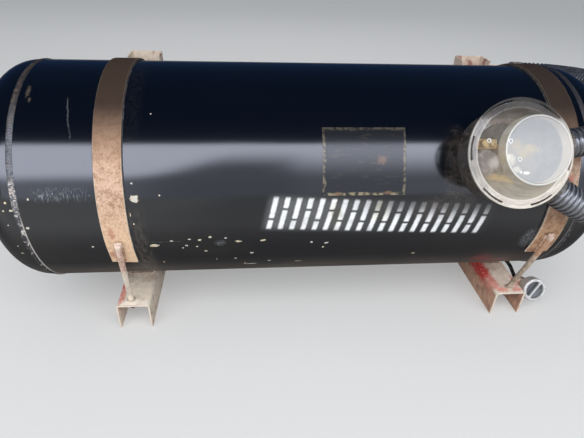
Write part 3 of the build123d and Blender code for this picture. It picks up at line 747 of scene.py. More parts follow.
weld_steps, cap_steps = 51, 14
for side_name, side, place in rods:
    top, end = rod_point(side_name, rod_top, side), rod_point(side_name, rod_end, side)
    thread_top = rod_point(side_name, rod_foot - 22.0, side)
    shank = (thread_top - top).length
    outline = [(0, 3.8), (0.4, 4.7), (1.4, 5.0), (shank - 0.8, 5.0), (shank, 4.5)]
    turned(f"rod_{side_name}_{place}", outline, top, end - top, rod, slot="strap_steel", segments=28)
    thread_end = rod_point(side_name, rod_end - 0.5, side)
    ribbed_tube(f"rod_thread_{side_name}_{place}", [thread_top, thread_end], rod, 4.95, 0.8, 1.5,
                rings=4.0, sides=24, slot="strap_steel")
    across = Vector((1, 0, 0))
    away = Vector((0, side * math.cos(drop), -math.sin(drop)))
    for edge, edge_name in ((-1, "left"), (1, "right")):
        path = []
        for step in range(weld_steps + 1):
            along = rod_top + 1.5 + (leg_end - rod_top - 3.0) * step / weld_steps
            sink = max(0.0, math.hypot(strap_out, min(along, 0.0)) - strap_out)
            middle = rod_point(side_name, along, side)
            path.append(middle + across * (edge * 5.6) - away * (3.3 + 0.8 * sink))
        outward = [(away + across * edge * 0.9).normalized()] * len(path)
        weld_bead(f"rod_weld_{side_name}_{place}_{edge_name}", path, outward, 6.5, 2.4, 3.4, weld,
                  slot="strap_steel")
    tip = rod_point(side_name, rod_top - 0.5, side)
    path = []
    for step in range(cap_steps + 1):
        sideways = 6.5 * math.sin(step / cap_steps * math.pi - math.pi / 2)
        path.append(tip + across * sideways - away * 3.2)
    up_leg = Vector((0, side * math.sin(drop), math.cos(drop)))
    outward = [(away + up_leg * 0.8).normalized()] * len(path)
    weld_bead(f"rod_weld_{side_name}_{place}_top", path, outward, 8.0, 3.6, 4.0, weld, slot="strap_steel")


# Nuts and washers: a hexagon nut on each rod's thread, forged steel with worn zinc. It bears on a
# taper washer under the web, which makes up for the rod's slant, and draws the strap tight.
def hexagon_nut(name, start, direction, flats, height, bore, finish, **facts):
    """A nut with the usual chamfered corners, as rings that follow its hexagon."""
    sides, half, face = 72, flats / 2, flats / 2 * 0.985
    way, outward = round_line(direction, sides)
    points = []
    for ring in range(6):
        for step, out in enumerate(outward):
            angle = 2 * math.pi * step / sides
            far = half / math.cos((angle + math.pi / 6) % (math.pi / 3) - math.pi / 6)
            cut = max(0.0, far - half) * 0.58 + 0.15
            radius = (bore, face, far, far, face, bore)[ring]
            along = (0.0, 0.0, cut, height - cut, height, height)[ring]
            points.append(at(*(start + way * along + out * radius)))
    piece(name, points, skin(6, sides, loop=True), finish, sharp=25, **facts)


zinc = Finish("fastener_steel", Metallic=0.6)
tarnish = zinc.two_tone(4, 0.38, 0.66, (0.2, 0.13, 0.09), (0.42, 0.41, 0.4), detail=5, roughness=0.65)
zinc.set(Roughness=tarnish.step(0, 1, 0.7, 0.42))
zinc.bump(zinc.noise(1.5, detail=3), 0.1)
for side_name, side, place in rods:
    start, end = rod_point(side_name, nut_start, side), rod_point(side_name, rod_end, side)
    hexagon_nut(f"rod_nut_{side_name}_{place}", start, end - start, 17.0, 8.5, 5.05, zinc,
                slot="fastener_steel", replaces=(f"rod_nuts_{side_name}",))


def eased(node, finish, width, slot, body="root"):
    """A copy of a CAD node with its edges rounded by width millimetres, as cut and bent steel has them."""
    mesh = frame["nodes"][node].data.copy()
    mesh.name = f"{node}_made"
    shape = bmesh.new()
    shape.from_mesh(mesh)
    bmesh.ops.remove_doubles(shape, verts=shape.verts, dist=2e-5)
    bmesh.ops.dissolve_limit(shape, angle_limit=math.radians(0.4), verts=shape.verts, edges=shape.edges)
    shape.to_mesh(mesh)
    shape.free()
    made = dressed(f"{node}_made", mesh, finish, body=body, slot=slot, replaces=(node,))
    sharp = math.radians(32)
    mesh.set_sharp_from_angle(angle=sharp)
    bevel = made.modifiers.new("eased_edges", "BEVEL")
    bevel.width = width / 1000
    bevel.segments = 2
    bevel.limit_method = "ANGLE"
    bevel.angle_limit = sharp


for side_name in strap_centres:
    eased(f"rod_washers_{side_name}", zinc, 0.3, "fastener_steel")


# Brackets: under the tank two bent channels, and behind it two posts that bolt to the chassis rail,
# with gussets between. Their red paint is worn to rust and grey dust, and bare along the bends.
web_half = 31.0
beam_front = -169.5
beam_low = web_top - 57.0
bracket_centres = {"left": -330.5, "right": 422.0}
bracket_finishes = {}
for side_name, web_dust, wall_brown, reds in (
    ("left", (0.98, 0.85, 0.70), (0.88, 0.74, 0.61), [(-25, -140, 8, 28), (-28, -112, 6, 16)]),
    ("right", (0.96, 0.78, 0.64), (0.66, 0.39, 0.26),
     [(-28, -90, 15, 40), (-28, -55, 20, 26), (-14, -158, 16, 9), (17, -159, 13, 8),
      (24, -136, 6, 18), (-24, -136, 11, 26)]),
):
    worn = Finish(f"bracket_paint_{side_name}", Roughness=0.72)
    x, y, z = worn.split()
    across = x - bracket_centres[side_name]
    wall = z.step(web_top - 2.0, web_top - 9.0)
    mottle = worn.noise(9, detail=6, roughness=0.7).step(0.36, 0.66)
    fine = worn.noise(1.8, roughness=0.7)
    streaks = worn.noise(3.2, (1, 1, 7), detail=5, roughness=0.7).step(0.36, 0.66, 0.25, 0.75)
    # The web's colour is dust with painted light and shade: paler along its open front edge as painted
    # light, and darker further in under the tank as painted shade.
    web_dust_and_light = worn.coats(
        tuple(0.78 * part for part in web_dust),
        (mottle, web_dust),
        (fine.step(0.5, 0.62) * 0.4, tuple(1.04 * part for part in web_dust)),
        ((y + fine * 16).step(beam_front + 30, beam_front + 12) * 0.8, (0.98, 0.9, 0.78)),
    )
    shade_under_tank = y.step(-80, -30, 1.0, 0.7)
    web_dust_and_light = worn.mix(shade_under_tank, (0.34, 0.26, 0.2), web_dust_and_light)
    browned = worn.mix(streaks, tuple(0.62 * part for part in wall_brown),
                       tuple(1.35 * part for part in wall_brown))
    browned = worn.mix(worn.noise(20).step(0.48, 0.66) * 0.5, browned, (0.2, 0.115, 0.08))
    down_wall = (z + worn.noise(9) * 16).step(web_top - 18, web_top - 4)
    red = worn.join(across, y).spots(reds, 0.6).step(1.15, 0.55) * down_wall
    red *= worn.noise(5, detail=5, roughness=0.7).step(0.3, 0.5, 0.15, 1.0)
    bright = worn.mix(y.step(-105, -140), (0.66, 0.045, 0.04), (0.8, 0.34, 0.27))
    left_over = worn.noise(26).step(0.52, 0.66) * y.step(-60, 60, 0.25, 0.75)
    jag = worn.noise(4) * 2.6
    front_edge = (y + jag).step(beam_front + 4.6, beam_front + 2.2)
    low_edge = (z + jag).step(beam_low + 3.6, beam_low + 1.8) * y.step(215, 200)
    bends = (across + jag).between(27.5, 29.8, 1.0) * wall.step(1.0, 0.2) * 0.55
    rubbed = worn.highest(front_edge, low_edge, bends) * worn.noise(8, detail=3).step(0.3, 0.5, 0.45, 1.0)
    colour = worn.coats(
        web_dust_and_light,
        (wall, browned),
        (red, bright),
        (left_over, (0.24, 0.032, 0.026)),
        (rubbed, (0.78, 0.66, 0.54)),
    )
    worn.set(Base_Color=colour, Roughness=red.step(0, 1, 0.78, 0.5))
    worn.bump(mottle * 0.7 + fine + red * 0.5, 0.22)
    bracket_finishes[side_name] = worn
    for kind, width in (("beam", 0.9), ("post", 0.9), ("gusset", 0.6), ("saddle", 0.5)):
        eased(f"{kind}_{side_name}", worn, width, "bracket_paint")

# Saddle pads: strips of the same black rubber, cut to the saddles and glued on them. The tank's
# weight rests on them.
for side_name in strap_centres:
    eased(f"saddle_pad_{side_name}", liner, 0.5, "liner_rubber")

# Bracket welds: hand-laid beads where the gussets, posts and saddles meet the channels, rippled
# and uneven, and rusted brown as they were never painted well.
bead_steel = Finish("bracket_weld", Roughness=0.7)
bead_steel.two_tone(7, 0.38, 0.62, (0.1, 0.055, 0.04), (0.27, 0.15, 0.11))
bead_steel.bump(bead_steel.noise(2, detail=3), 0.2)


def straight_weld(name, start, end, away, width=6.0, height=2.4):
    count = max(8, round((Vector(end) - Vector(start)).length / 0.9))
    path = [Vector(start).lerp(Vector(end), step / count) for step in range(count + 1)]
    weld_bead(name, path, [Vector(away).normalized()] * len(path), width, height, 3.6, bead_steel,
              slot="bracket_paint")


post_front = 216.2
for side_name, bracket_x in bracket_centres.items():
    for edge, edge_name in ((-1, "left"), (1, "right")):
        side_x = bracket_x + edge * 2.5
        wall_x = bracket_x + edge * web_half
        straight_weld(f"gusset_foot_weld_{side_name}_{edge_name}",
                      (side_x, 176, web_top), (side_x, 260, web_top), (edge, 0, 1))
        straight_weld(f"gusset_post_weld_{side_name}_{edge_name}",
                      (side_x, 263.2, web_top + 6), (side_x, 263.2, web_top + 90), (edge, -1, 0))
        straight_weld(f"beam_post_weld_{side_name}_{edge_name}", (wall_x, post_front, web_top - 54),
                      (wall_x, post_front, web_top - 8), (edge, -1, 0), 5.0, 2.0)
    for side, place in ((-1, "outboard"), (1, "inboard")):
        straight_weld(f"saddle_weld_{side_name}_{place}", (bracket_x - 24, side * 70, web_top),
                      (bracket_x + 24, side * 70, web_top), (0, side, 1), 6.0, 2.6)

# Dust collars: a low ring of dried mud packed round each rod where it goes through the web, which
# fills the gap in the hole. It has built up on the road.
mud = Finish("dried_mud", Roughness=0.9, Specular_IOR_Level=0.2)
mud.two_tone(3, 0.4, 0.6, (0.4, 0.33, 0.26), (0.6, 0.51, 0.41))
mud.bump(mud.noise(2), 0.3)
collar = [(-0.4, 8.6), (0.4, 8.1), (1.1, 6.8), (1.6, 5.4), (1.7, 4.0)]
for side_name, side, place in rods:
    turned(f"dust_collar_{side_name}_{place}", collar, rod_point(side_name, rod_foot, side),
           Vector((0, 0, 1)), mud, segments=28, slot="bracket_paint")


# Valve: a brass block on a steel flange, with its coil and taps, screwed to the neck in the barrel.
# It shows through the housing's cloudy lid.
lid_joint = next(joint for joint in frame["joints"] if joint["name"] == "lid_lift_off")
valve_way = Vector(lid_joint["axis"]).normalized()
valve_up = Vector((0, valve_way.z, -valve_way.y))
valve_x = 303.5


def on_valve(across, up, level):
    """A point beside the valve's axis, at a level out from the tank's axis."""
    return Vector((valve_x + across, 0, 0)) + valve_up * up + valve_way * level


neck_steel = Finish("neck_steel", Metallic=0.7, Roughness=0.5)
neck_steel.two_tone(9, 0.4, 0.65, (0.16, 0.12, 0.09), (0.4, 0.39, 0.37))
eased("valve_neck", neck_steel, 0.8, "neck_steel")

brass = Finish("brass", Metallic=0.75)
tarnish = brass.two_tone(7, 0.38, 0.66, (0.66, 0.43, 0.15), (0.9, 0.66, 0.27))
brass.set(Roughness=tarnish.step(0, 1, 0.55, 0.38))
brass.bump(brass.noise(1.6, detail=3), 0.04)
old_brass = Finish("old_brass", Metallic=0.5, Roughness=0.6)
# The flange's upper part is painted near black as painted shade; its lower part shows brass.
grey = old_brass.place.dot(valve_up).step(-16, -2)
fresh = old_brass.mix(old_brass.noise(9).step(0.4, 0.65), (0.3, 0.2, 0.08), (0.52, 0.38, 0.17))
old_brass.set(Base_Color=old_brass.mix(grey, fresh, (0.045, 0.04, 0.036)))
eased("valve_flange", old_brass, 0.4, "brass")
eased("valve_body", brass, 0.8, "brass")
eased("valve_taps", brass, 0.6, "brass")
tie_start, tie_end = on_valve(-31.0, -34.5, 226.5), on_valve(3.0, -40.5, 226.5)
tie_length = (tie_end - tie_start).length
turned("valve_tie", [(0, 3.4), (0.8, 4.5), (tie_length - 0.8, 4.5), (tie_length, 3.4)], tie_start,
       tie_end - tie_start, brass, segments=24, slot="brass")

coil = Finish("coil_resin", Roughness=0.5)
coil.two_tone(8, 0.4, 0.65, (0.34, 0.26, 0.27), (0.62, 0.54, 0.54))
coil_foot = 222.0
dome = [(0.0, 19.6), (0.4, 20.0), (15.0, 20.0)]
for turn in range(10, 91, 10):
    bend = math.radians(turn)
    dome.append((15.0 + 7.0 * math.sin(bend), 13.0 + 7.0 * math.cos(bend)))
dome += [(21.6, 8.0), (21.2, 4.0)]
turned("valve_coil_made", dome, on_valve(-45.1, -11.0, coil_foot), valve_way, coil, segments=64,
       slot="coil_resin", replaces=("valve_coil",))


# Housing base: a moulded tube of black plastic, dusty outside, seated on the barrel round the neck,
# with the two hose sockets on its right side.
black = Finish("housing_plastic")
dust = black.noise(9, detail=6, roughness=0.7).step(0.36, 0.66)
grains = black.noise(1.6, detail=2).step(0.52, 0.68)
colour = black.mix(dust * 0.5, (0.02, 0.019, 0.019), (0.14, 0.11, 0.085))
colour = black.mix(grains * 0.35, colour, (0.36, 0.3, 0.24))
black.set(Base_Color=colour, Roughness=dust.step(0, 1, 0.35, 0.8))
black.bump(black.noise(2.4, detail=2), 0.06)
eased("housing_base", black, 0.4, "housing_plastic")


# Housing lid: one moulding of cloudy plastic, a flange with six slots for a bayonet tool, a clear
# shoulder that shows the valve, and a round tower. It turns and lifts off as one.
lid_bottom = 258.0
flange_up = lid_bottom + 4.0
shoulder_top = flange_up + 24.0
tower_top = flange_up + 42.0
slot_low, slot_high = 78.0, 81.0
lid_over = [
    (0.0, tower_top - 0.6), (47.0, tower_top - 0.6), (47.7, tower_top), (50.2, tower_top),
    (50.7, tower_top - 1.6), (52.2, shoulder_top), (54.7, shoulder_top - 3.0), (68.0, flange_up + 3.0),
    (70.0, flange_up), (slot_low, flange_up), (slot_high, flange_up), (84.0, flange_up), (84.0, lid_bottom),
]
lid_under = [
    (slot_high, lid_bottom), (slot_low, lid_bottom), (67.5, lid_bottom), (67.5, flange_up),
    (52.2, shoulder_top - 4.0), (49.7, shoulder_top - 1.0), (48.2, tower_top - 4.5),
    (46.2, tower_top - 2.5), (0.0, tower_top - 2.5),
]
segments = 240
slot_first, slot_arc, slot_count = 54.0, 27.0, 6


def in_slot(step):
    """Whether the flange's face at this step lies in one of the slots."""
    pitch = 360 / slot_count
    from_middle = ((step + 0.5) * 360 / segments - slot_first + pitch / 2) % pitch - pitch / 2
    return abs(from_middle) < slot_arc / 2


loop = lid_over + lid_under
outline = []
for number, corner in enumerate(loop):
    if corner[0] in (0.0, slot_low, slot_high):
        outline.append(corner)
        continue
    here, before, after = Vector(corner), Vector(loop[number - 1]), Vector(loop[(number + 1) % len(loop)])
    cut = min(1.1, 0.4 * (before - here).length, 0.4 * (after - here).length)
    first = here + (before - here).normalized() * cut
    last = here + (after - here).normalized() * cut
    for step in range(4):
        share = step / 3
        outline.append(tuple(first.lerp(here, share).lerp(here.lerp(last, share), share)))

lid_points = []
for radius, level in outline[1:-1]:
    for step in range(segments):
        angle = 2 * math.pi * step / segments
        lid_points.append(at(*on_valve(radius * math.cos(angle), radius * math.sin(angle), level)))
rows = len(outline) - 2
row_of = {corner: number - 1 for number, corner in enumerate(outline)}
slot_rows = [row_of[slot_low, flange_up], row_of[slot_high, flange_up], row_of[slot_high, lid_bottom],
             row_of[slot_low, lid_bottom]]
lid_faces = []
for row in range(rows - 1):
    slotted = row in (slot_rows[0], slot_rows[2])
    for step in range(segments):
        if slotted and in_slot(step):
            continue
        beside = (step + 1) % segments
        lid_faces.append((row * segments + step, row * segments + beside, (row + 1) * segments + beside,
                          (row + 1) * segments + step))
top_inner, top_outer, low_outer, low_inner = (row * segments for row in slot_rows)
for step in range(segments):
    beside = (step + 1) % segments
    if in_slot(step):
        lid_faces.append((top_inner + step, low_inner + step, low_inner + beside, top_inner + beside))
        lid_faces.append((top_outer + beside, low_outer + beside, low_outer + step, top_outer + step))
        for edge, neighbour in ((step, step - 1), (beside, step + 1)):
            if not in_slot(neighbour % segments):
                lid_faces.append((top_inner + edge, top_outer + edge, low_outer + edge, low_inner + edge))
lid_points += [at(*on_valve(0, 0, outline[0][1])), at(*on_valve(0, 0, outline[-1][1]))]
for step in range(segments):
    beside = (step + 1) % segments
    lid_faces.append((step, beside, len(lid_points) - 2))
    lid_faces.append(((rows - 1) * segments + beside, (rows - 1) * segments + step, len(lid_points) - 1))

cloudy = Finish("lid_plastic", IOR=1.5, Specular_IOR_Level=0.6)
off = cloudy.place - (valve_x, 0, 0)
level = off.dot(valve_way)
across = off.dot((1, 0, 0))
upward = off.dot(valve_up)
beside_valve = cloudy.join(across, upward)
radius = beside_valve.length()
on_flange = radius.step(69.0, 71.0)
on_face = level.step(tower_top - 3.6, tower_top - 2.0) * radius.step(48.6, 47.2)
on_wall = level.step(shoulder_top - 2, shoulder_top + 3) * (1.0 - on_face)
on_rim = level.step(tower_top - 1.6, tower_top - 0.6) * radius.step(47.4, 48.2)
# Light and shade are painted into the lid's colour and alpha: the side towards the lower right is painted
# lit, and the top is painted in shade.
sunny_way = across * 0.45 - upward * 0.9
sunlit = sunny_way.step(-45, 60)
most_lit = sunny_way.step(42, 64)
shaded = upward.step(42, 64)
stains = cloudy.noise(14, detail=5, roughness=0.65).step(0.38, 0.66)
turned_marks = cloudy.noise(1.0, roughness=0.6,
                            place=cloudy.join(radius * 0.42, across * 0.03, upward * 0.03))
# The shoulder is stains and dust with painted light: paler on the lit side, the brass tie painted as if
# seen lit through the plastic, and a painted highlight where the coil's lit side shows through.
tie_glow = beside_valve.spots([(-51, -36, 7, 5.5), (-41, -38.5, 8, 5.5), (-30, -42, 8, 5)], 0.35)
coil_glow = beside_valve.spots([(-53, -15, 6, 10)], 0.5).step(1.4, 0.2)
cone_dust_and_light = cloudy.coats(
    (0.3, 0.26, 0.21),
    (stains, (0.5, 0.45, 0.38)),
    (sunlit, (0.8, 0.71, 0.59)),
    (turned_marks.step(0.46, 0.6, 0.0, 0.34), (0.13, 0.11, 0.09)),
    (tie_glow.step(1.15, 0.5, 0.0, 0.75), (0.86, 0.66, 0.4)),
    (coil_glow * 0.75, (0.84, 0.76, 0.7)),
)
rubbed_round = cloudy.noise(1.0, roughness=0.6,
                            place=cloudy.join(radius * 0.3, across * 0.05, upward * 0.05))
rubbed_round = rubbed_round.step(0.36, 0.64)
# The flange is scuffed in rings, painted lit on the lower right and painted near black in shade on the top,
# with a painted highlight along its outer edge and round its inner edge.
edge_highlight = cloudy.highest(radius.step(82.0, 83.4), radius.between(70.0, 72.0, 0.8))
flange_light_and_scuffs = cloudy.coats(
    (0.16, 0.145, 0.125),
    (rubbed_round, (0.27, 0.245, 0.21)),
    (sunlit, cloudy.mix(rubbed_round, (0.5, 0.44, 0.365), (0.65, 0.59, 0.5))),
    (edge_highlight * sunlit.step(0, 1, 0.35, 0.7), (0.8, 0.76, 0.69)),
    (shaded * 0.85, (0.05, 0.046, 0.042)),
)
# The face is painted darker towards the top as painted shade. So is the pale crescent at its right, where
# the tower's wall shows through. The glints are painted highlights.
crescent = (cloudy.join(across + 8.0, upward) / (42.5, 46.5, 1)).length().step(0.97, 1.04)
brassy = beside_valve.spots([(-34, 8, 9, 9), (-25, -4, 9, 7), (-14, 2, 12, 8)], 0.9)
creamy = beside_valve.spots([(-42, -13, 7, 10), (-34, -27, 8, 6)], 0.6)
glints = beside_valve.spots([(-46, -9.5, 2.2, 4.5), (-19.4, -32.2, 5.5, 2.4), (-27, -31, 2, 2.4)], 0.25)
face = cloudy.coats(
    (0.365, 0.37, 0.36),
    (stains * 0.5, (0.43, 0.43, 0.415)),
    (upward.step(0, 42, 0.0, 0.7), (0.265, 0.27, 0.265)),
    (brassy.step(1.15, 0.4, 0.0, 0.5), (0.52, 0.46, 0.34)),
    (creamy.step(1.15, 0.4, 0.0, 0.7), (0.76, 0.74, 0.64)),
    (radius.between(2.6, 3.4, 0.5), (0.46, 0.48, 0.48)),
    (crescent, cloudy.mix(upward.step(8, 40), (0.54, 0.51, 0.455), (0.38, 0.37, 0.34))),
    (glints.step(1.05, 0.8), (0.86, 0.85, 0.78)),
)
# The rim is painted darker towards the top as painted shade.
colour = cloudy.coats(
    cone_dust_and_light,
    (on_flange, flange_light_and_scuffs),
    (on_wall, cloudy.mix(stains, (0.62, 0.54, 0.42), (0.8, 0.74, 0.64))),
    (on_face, face),
    (on_rim, cloudy.mix(upward.step(15, 45), (0.58, 0.57, 0.53), (0.4, 0.39, 0.37))),
)
# The alpha is painted with the light as well: more opaque on the lit side and over the coil's painted
# highlight, clearer on the shaded top.
cover = sunlit.step(0, 1, 0.26, 0.48) + most_lit * 0.16 + coil_glow * 0.25 - shaded * 0.1
rim_cover = rubbed_round.step(0, 1, 0.64, 0.74) + sunlit * 0.14
cover = cloudy.highest(cover, on_flange * rim_cover * shaded.step(0, 1, 1.0, 0.5))
cover = cloudy.highest(cover, on_wall * 0.62, on_face * 0.62, on_rim * 0.85)
cloudy.set(Base_Color=colour, Alpha=cover, Roughness=(on_flange * shaded).step(0, 1, 0.3, 0.9))
cloudy.bump(cloudy.noise(5, detail=3) + cloudy.noise(1.2, detail=2) * 0.3, 0.05)
piece("housing_lid_made", lid_points, lid_faces, cloudy, sharp=38, body="lid", slot="lid_plastic",
      replaces=("housing_lid",))

# Lid marks: three little rings, one on the shoulder and two on the tower's face. They are moulded
# with the lid and coloured white.
white_rings = Finish("lid_rings", Roughness=0.35)
white_rings.two_tone(3, 0.4, 0.6, (0.72, 0.74, 0.74), (0.86, 0.88, 0.88), detail=3)
ring = [(0.0, 2.0), (0.5, 1.9), (0.9, 2.2), (1.1, 2.7), (0.9, 3.2), (0.0, 3.5)]
ring_places = ((-60.0, 17.0, 276.6), (-42.9, 12.9, tower_top - 0.8), (-29.3, -13.1, tower_top - 0.8))
for number, (across, up, level) in enumerate(ring_places, 1):
    points = []
    for height, radius in ring:
        for step in range(32):
            angle = 2 * math.pi * step / 32
            beside, above = across + radius * math.cos(angle), up + radius * math.sin(angle)
            points.append(at(*on_valve(beside, above, level + height)))
    piece(f"lid_ring_{number}", points, skin(len(ring), 32, loop=True), white_rings, body="lid",
          slot="lid_plastic")


# Vent hoses: ridged black plastic tube, 48 mm across, from the housing's sockets round the right
# head to clips on the right post. They carry any leaked gas away, with the gas pipes inside.
hose_level = 232.0
ridged = Finish("hose_plastic", Specular_IOR_Level=0.8, Coat_Weight=0.6, Coat_Roughness=0.08)
hose_dust = ridged.noise(14, detail=5, roughness=0.6).step(0.42, 0.7)
groove = ridged.add("ShaderNodeAttribute")
groove.attribute_name = "groove"
crest = Level(ridged, groove.outputs["Fac"]).step(0.45, 0.06)
# The crests are painted paler, part dust and part painted sheen, and on the upper hose darker as painted
# shade.
height = ridged.place.dot((0, 0, 1))
crest_dust_and_sheen = ridged.mix(height.step(100, 118), (0.125, 0.131, 0.148), (0.055, 0.058, 0.066))
colour = ridged.mix(crest, (0.004, 0.004, 0.005), crest_dust_and_sheen)
ridged.set(Base_Color=ridged.mix(hose_dust * 0.08, colour, (0.3, 0.27, 0.24)),
           Roughness=ridged.highest(crest.step(0, 1, 0.5, 0.24), hose_dust.step(0, 1, 0.24, 0.5)))
ridged.bump(ridged.noise(3, detail=2), 0.08)
hose_end_x, hose_end_y, stay_z = 490.0, 186.2, 142.55
# Each hose: its turn round the valve's axis, points on its way as x past the seam, degrees up round
# the tank and millimetres out from its skin, where it turns back, and the side of its clip
routes = {
    "upper": (10.0, [(47, 39.3, 40), (110, 53.7, 6), (125, 79.9, -29), (125, 110.3, -27),
                     (114, 132.6, 4)], 87, 1),
    "lower": (-37.0, [(37, 4.8, 36.8), (114, -2.4, -9.8), (146, -21.8, -86.9), (146, -86.3, -121.8),
                      (136, -128.8, -56.3)], 97, -1),
}
for name, (turn, middle_points, turn_back, side) in routes.items():
    angle = math.radians(turn)
    route = [on_valve(out * math.cos(angle), out * math.sin(angle), hose_level) for out in (73.0, 134.0)]
    for past_seam, up, out in middle_points:
        radius, up = tank_r + out, math.radians(up)
        route.append(Vector((seam_x + past_seam, -radius * math.cos(up), radius * math.sin(up))))
    route.append(Vector((seam_x + turn_back, hose_end_y, side * stay_z)))
    route.append(Vector((hose_end_x, hose_end_y, side * stay_z)))
    ribbed_tube(f"vent_hose_{name}_made", route, ridged, 24.0, 2.4, 8.3, power=1.5, rings=8.0, sides=40,
                slot="hose_plastic", replaces=(f"vent_hose_{name}",))

# Hose clips and stays: a zinc band round each hose's end, on an angle bent from flat bar that is
# welded to the right post's side.
eased("hose_clips", zinc, 0.4, "fastener_steel")
eased("hose_stays", bracket_finishes["right"], 0.7, "bracket_paint")


# Filler valve: a brass body through a tab on the right beam, held by a lock nut, with a turned
# aluminium cap whose face has a grip bar between two wells. The cap unscrews.
eased("filler_tab", bracket_finishes["right"], 0.6, "bracket_paint")
eased("filler_body", brass, 0.6, "brass")
eased("filler_lock_nut", zinc, 0.5, "fastener_steel")
cap_joint = next(joint for joint in frame["joints"] if joint["name"] == "filler_cap_turn")
cap_out = Vector(cap_joint["axis"]).normalized()
cap_middle = (483, -156, -211)
cap = Finish("cap_metal", Metallic=0.1)
grime = cap.noise(5, detail=5, roughness=0.65).step(0.4, 0.7)
off = cap.place - cap_middle
in_face = off.dot(cap_out)
from_axis = off.cross(cap_out).length()
tilt, grip = math.radians(22.0), math.radians(36.0)
over_grip = (math.cos(grip), -math.sin(tilt) * math.sin(grip), -math.cos(tilt) * math.sin(grip))
beside_grip = abs(off.dot(over_grip))
# The face is painted dark inside the grip ring, all but a thin line along the grip bar's middle, and darker
# still in the sunk wells: painted shade on the bar's slopes and in the wells.
shaded_wells = in_face.step(-3.0, -6.0) * from_axis.step(22.0, 20.5)
colour = cap.coats(
    (0.62, 0.62, 0.62),
    (grime, (0.4, 0.39, 0.38)),
    (from_axis.step(18.5, 15.0) * beside_grip.step(0.9, 2.2), (0.17, 0.175, 0.18)),
    (from_axis.step(23.4, 24.2), (0.6, 0.55, 0.52)),
)
cap.set(Base_Color=cap.mix(shaded_wells * 0.85, colour, (0.1, 0.105, 0.115)),
        Roughness=grime.step(0, 1, 0.34, 0.55))
cap.bump(cap.noise(1.4, detail=3), 0.06)
eased("filler_cap", cap, 0.9, "cap_metal", body="cap")

# Filler pipe and outlet pipe: 8 mm copper pipe in a black plastic sleeve, bent by hand under the
# tank. The first runs from the filler valve, and the second leaves by the right post.
sleeve = Finish("pipe_coating", Coat_Weight=0.3, Coat_Roughness=0.1)
scuffed = sleeve.noise(8).step(0.45, 0.7)
sleeve.set(Base_Color=sleeve.mix(scuffed * 0.15, (0.01, 0.01, 0.011), (0.28, 0.25, 0.22)),
           Roughness=scuffed.step(0, 1, 0.25, 0.55))
eased("filler_pipe", sleeve, 0.3, "pipe_coating")
eased("outlet_pipe", sleeve, 0.3, "pipe_coating")


# Floor: pale and plain, just under the beams, so that it keeps the object's shadow. In gloss it
# shows pale further off and dim close to the object, which draws the tank's dark underside.
floor_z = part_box("beam_left")[0].z
bpy.ops.mesh.primitive_plane_add(size=60, location=(0, 0, floor_z))
floor = bpy.context.object
floor.name = "floor"
floor_finish = Finish("floor", Base_Color=(0.5, 0.5, 0.5), Roughness=0.9, Specular_IOR_Level=0.0,
                      Emission_Color=(1, 1, 1))
rays = floor_finish.add("ShaderNodeLightPath").outputs
to_camera, through, in_gloss = (Level(floor_finish, rays[kind]) for kind in (
    "Is Camera Ray", "Is Transmission Ray", "Is Glossy Ray"))
x, y, _ = floor_finish.split()
far_off = y.step(-150, -650, 0.1, 0.85) * x.step(-150, -520, 1.0, 1.45)
floor_finish.set(Emission_Strength=floor_finish.highest(to_camera, through) * 0.27 + in_gloss * far_off,
                 Base_Color=floor_finish.mix(in_gloss, (0.5, 0.5, 0.5), (0.06, 0.06, 0.06)))
floor.data.materials.append(floor_finish.material)

# Studio light: a curved panel that only gloss sees, which draws the bright band along the tank, a
# soft lamp in front that gloss doesn't see, weak fills low down, above and behind, and a dim even
# surround that shows pale behind the object.
world = bpy.data.worlds.new("studio")
world.use_nodes = True
surround = world.node_tree
rays = surround.nodes.new("ShaderNodeLightPath").outputs
plain = surround.nodes.new("ShaderNodeRGB")
plain.outputs[0].default_value = (0.165, 0.19, 0.22, 1)
shown = plain.outputs[0]
for kind, colour in (("Is Glossy Ray", (0.02, 0.045, 0.11, 1)), ("Is Camera Ray", (0.58, 0.59, 0.60, 1))):
    mixed = surround.nodes.new("ShaderNodeMix")
    mixed.data_type = "RGBA"
    mixed.inputs[7].default_value = colour
    surround.links.new(rays[kind], mixed.inputs[0])
    surround.links.new(shown, mixed.inputs[6])
    shown = mixed.outputs[2]
surround.links.new(shown, surround.nodes["Background"].inputs["Color"])
bpy.context.scene.world = world


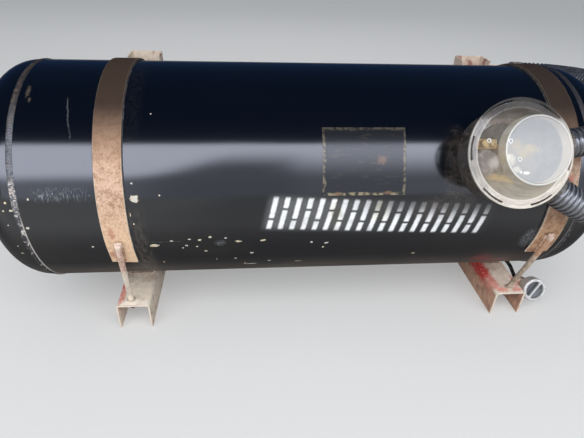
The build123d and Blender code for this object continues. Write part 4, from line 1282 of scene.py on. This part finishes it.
def softbox(name, elevation, azimuth, distance, width, tall, radiance):
    """A lamp panel that faces the tank and that gloss doesn't see, placed by how it is seen from there."""
    lamp = bpy.data.objects.new(name, bpy.data.lights.new(name, "AREA"))
    lamp.data.shape = "RECTANGLE"
    lamp.data.size = width
    lamp.data.size_y = tall
    lamp.data.energy = radiance * math.pi * width * tall
    up, side = math.radians(elevation), math.radians(azimuth)
    away = Vector((math.sin(side) * math.cos(up), -math.cos(side) * math.cos(up), math.sin(up)))
    turned_in = away.to_track_quat("Z", "Y").to_matrix().to_4x4()
    lamp.matrix_world = Matrix.Translation(tank_middle + away * distance) @ turned_in
    lamp.visible_glossy = False
    bpy.context.scene.collection.objects.link(lamp)


glow = Finish("band_panel", Base_Color=(0, 0, 0), Roughness=1.0, Specular_IOR_Level=0.0,
              Emission_Color=(0.93, 0.98, 1.16))
x, arc = glow.unrolled()
slanted = x - arc * 7.4
left_part = slanted.step(-1370, -970, 1.0, 0.0) * arc.step(42, 82, 0.26, 1.0)
right_part = x.step(0, 230) * arc.step(48, 160, 0.18, 1.0)
ridge = glow.highest(arc.step(90, 165, 0.14, 1.0), x.step(-400, -900, 0.11, 0.2))
bright = glow.highest(left_part, right_part, ridge) * arc.step(181, 168)
glow.set(Emission_Strength=bright * 8.6)
panel_r, panel_rows = 2400, 31
points = []
for row in range(panel_rows):
    turn = math.radians(-2 + 56 * row / (panel_rows - 1))
    points += [at(x, -panel_r * math.cos(turn), panel_r * math.sin(turn)) for x in range(-2600, 2601, 1300)]
panel = bpy.data.objects.new("band_panel", bpy.data.meshes.new("band_panel"))
panel.data.from_pydata([tuple(point) for point in points], [], skin(panel_rows, 5, ring=False))
panel.data.materials.append(glow.material)
bpy.context.scene.collection.objects.link(panel)
panel.visible_camera = panel.visible_diffuse = panel.visible_shadow = panel.visible_transmission = False
softbox("front_softbox", 47, 0, 2.5, 7.0, 1.5, 2.65)
softbox("low_fill", 12, 0, 2.5, 6.0, 1.2, 1.2)
softbox("top_fill", 80, 0, 3.0, 4.0, 3.0, 0.5)
softbox("back_fill", 35, 180, 3.0, 4.0, 2.0, 0.5)
bpy.context.scene.view_settings.view_transform = "Standard"
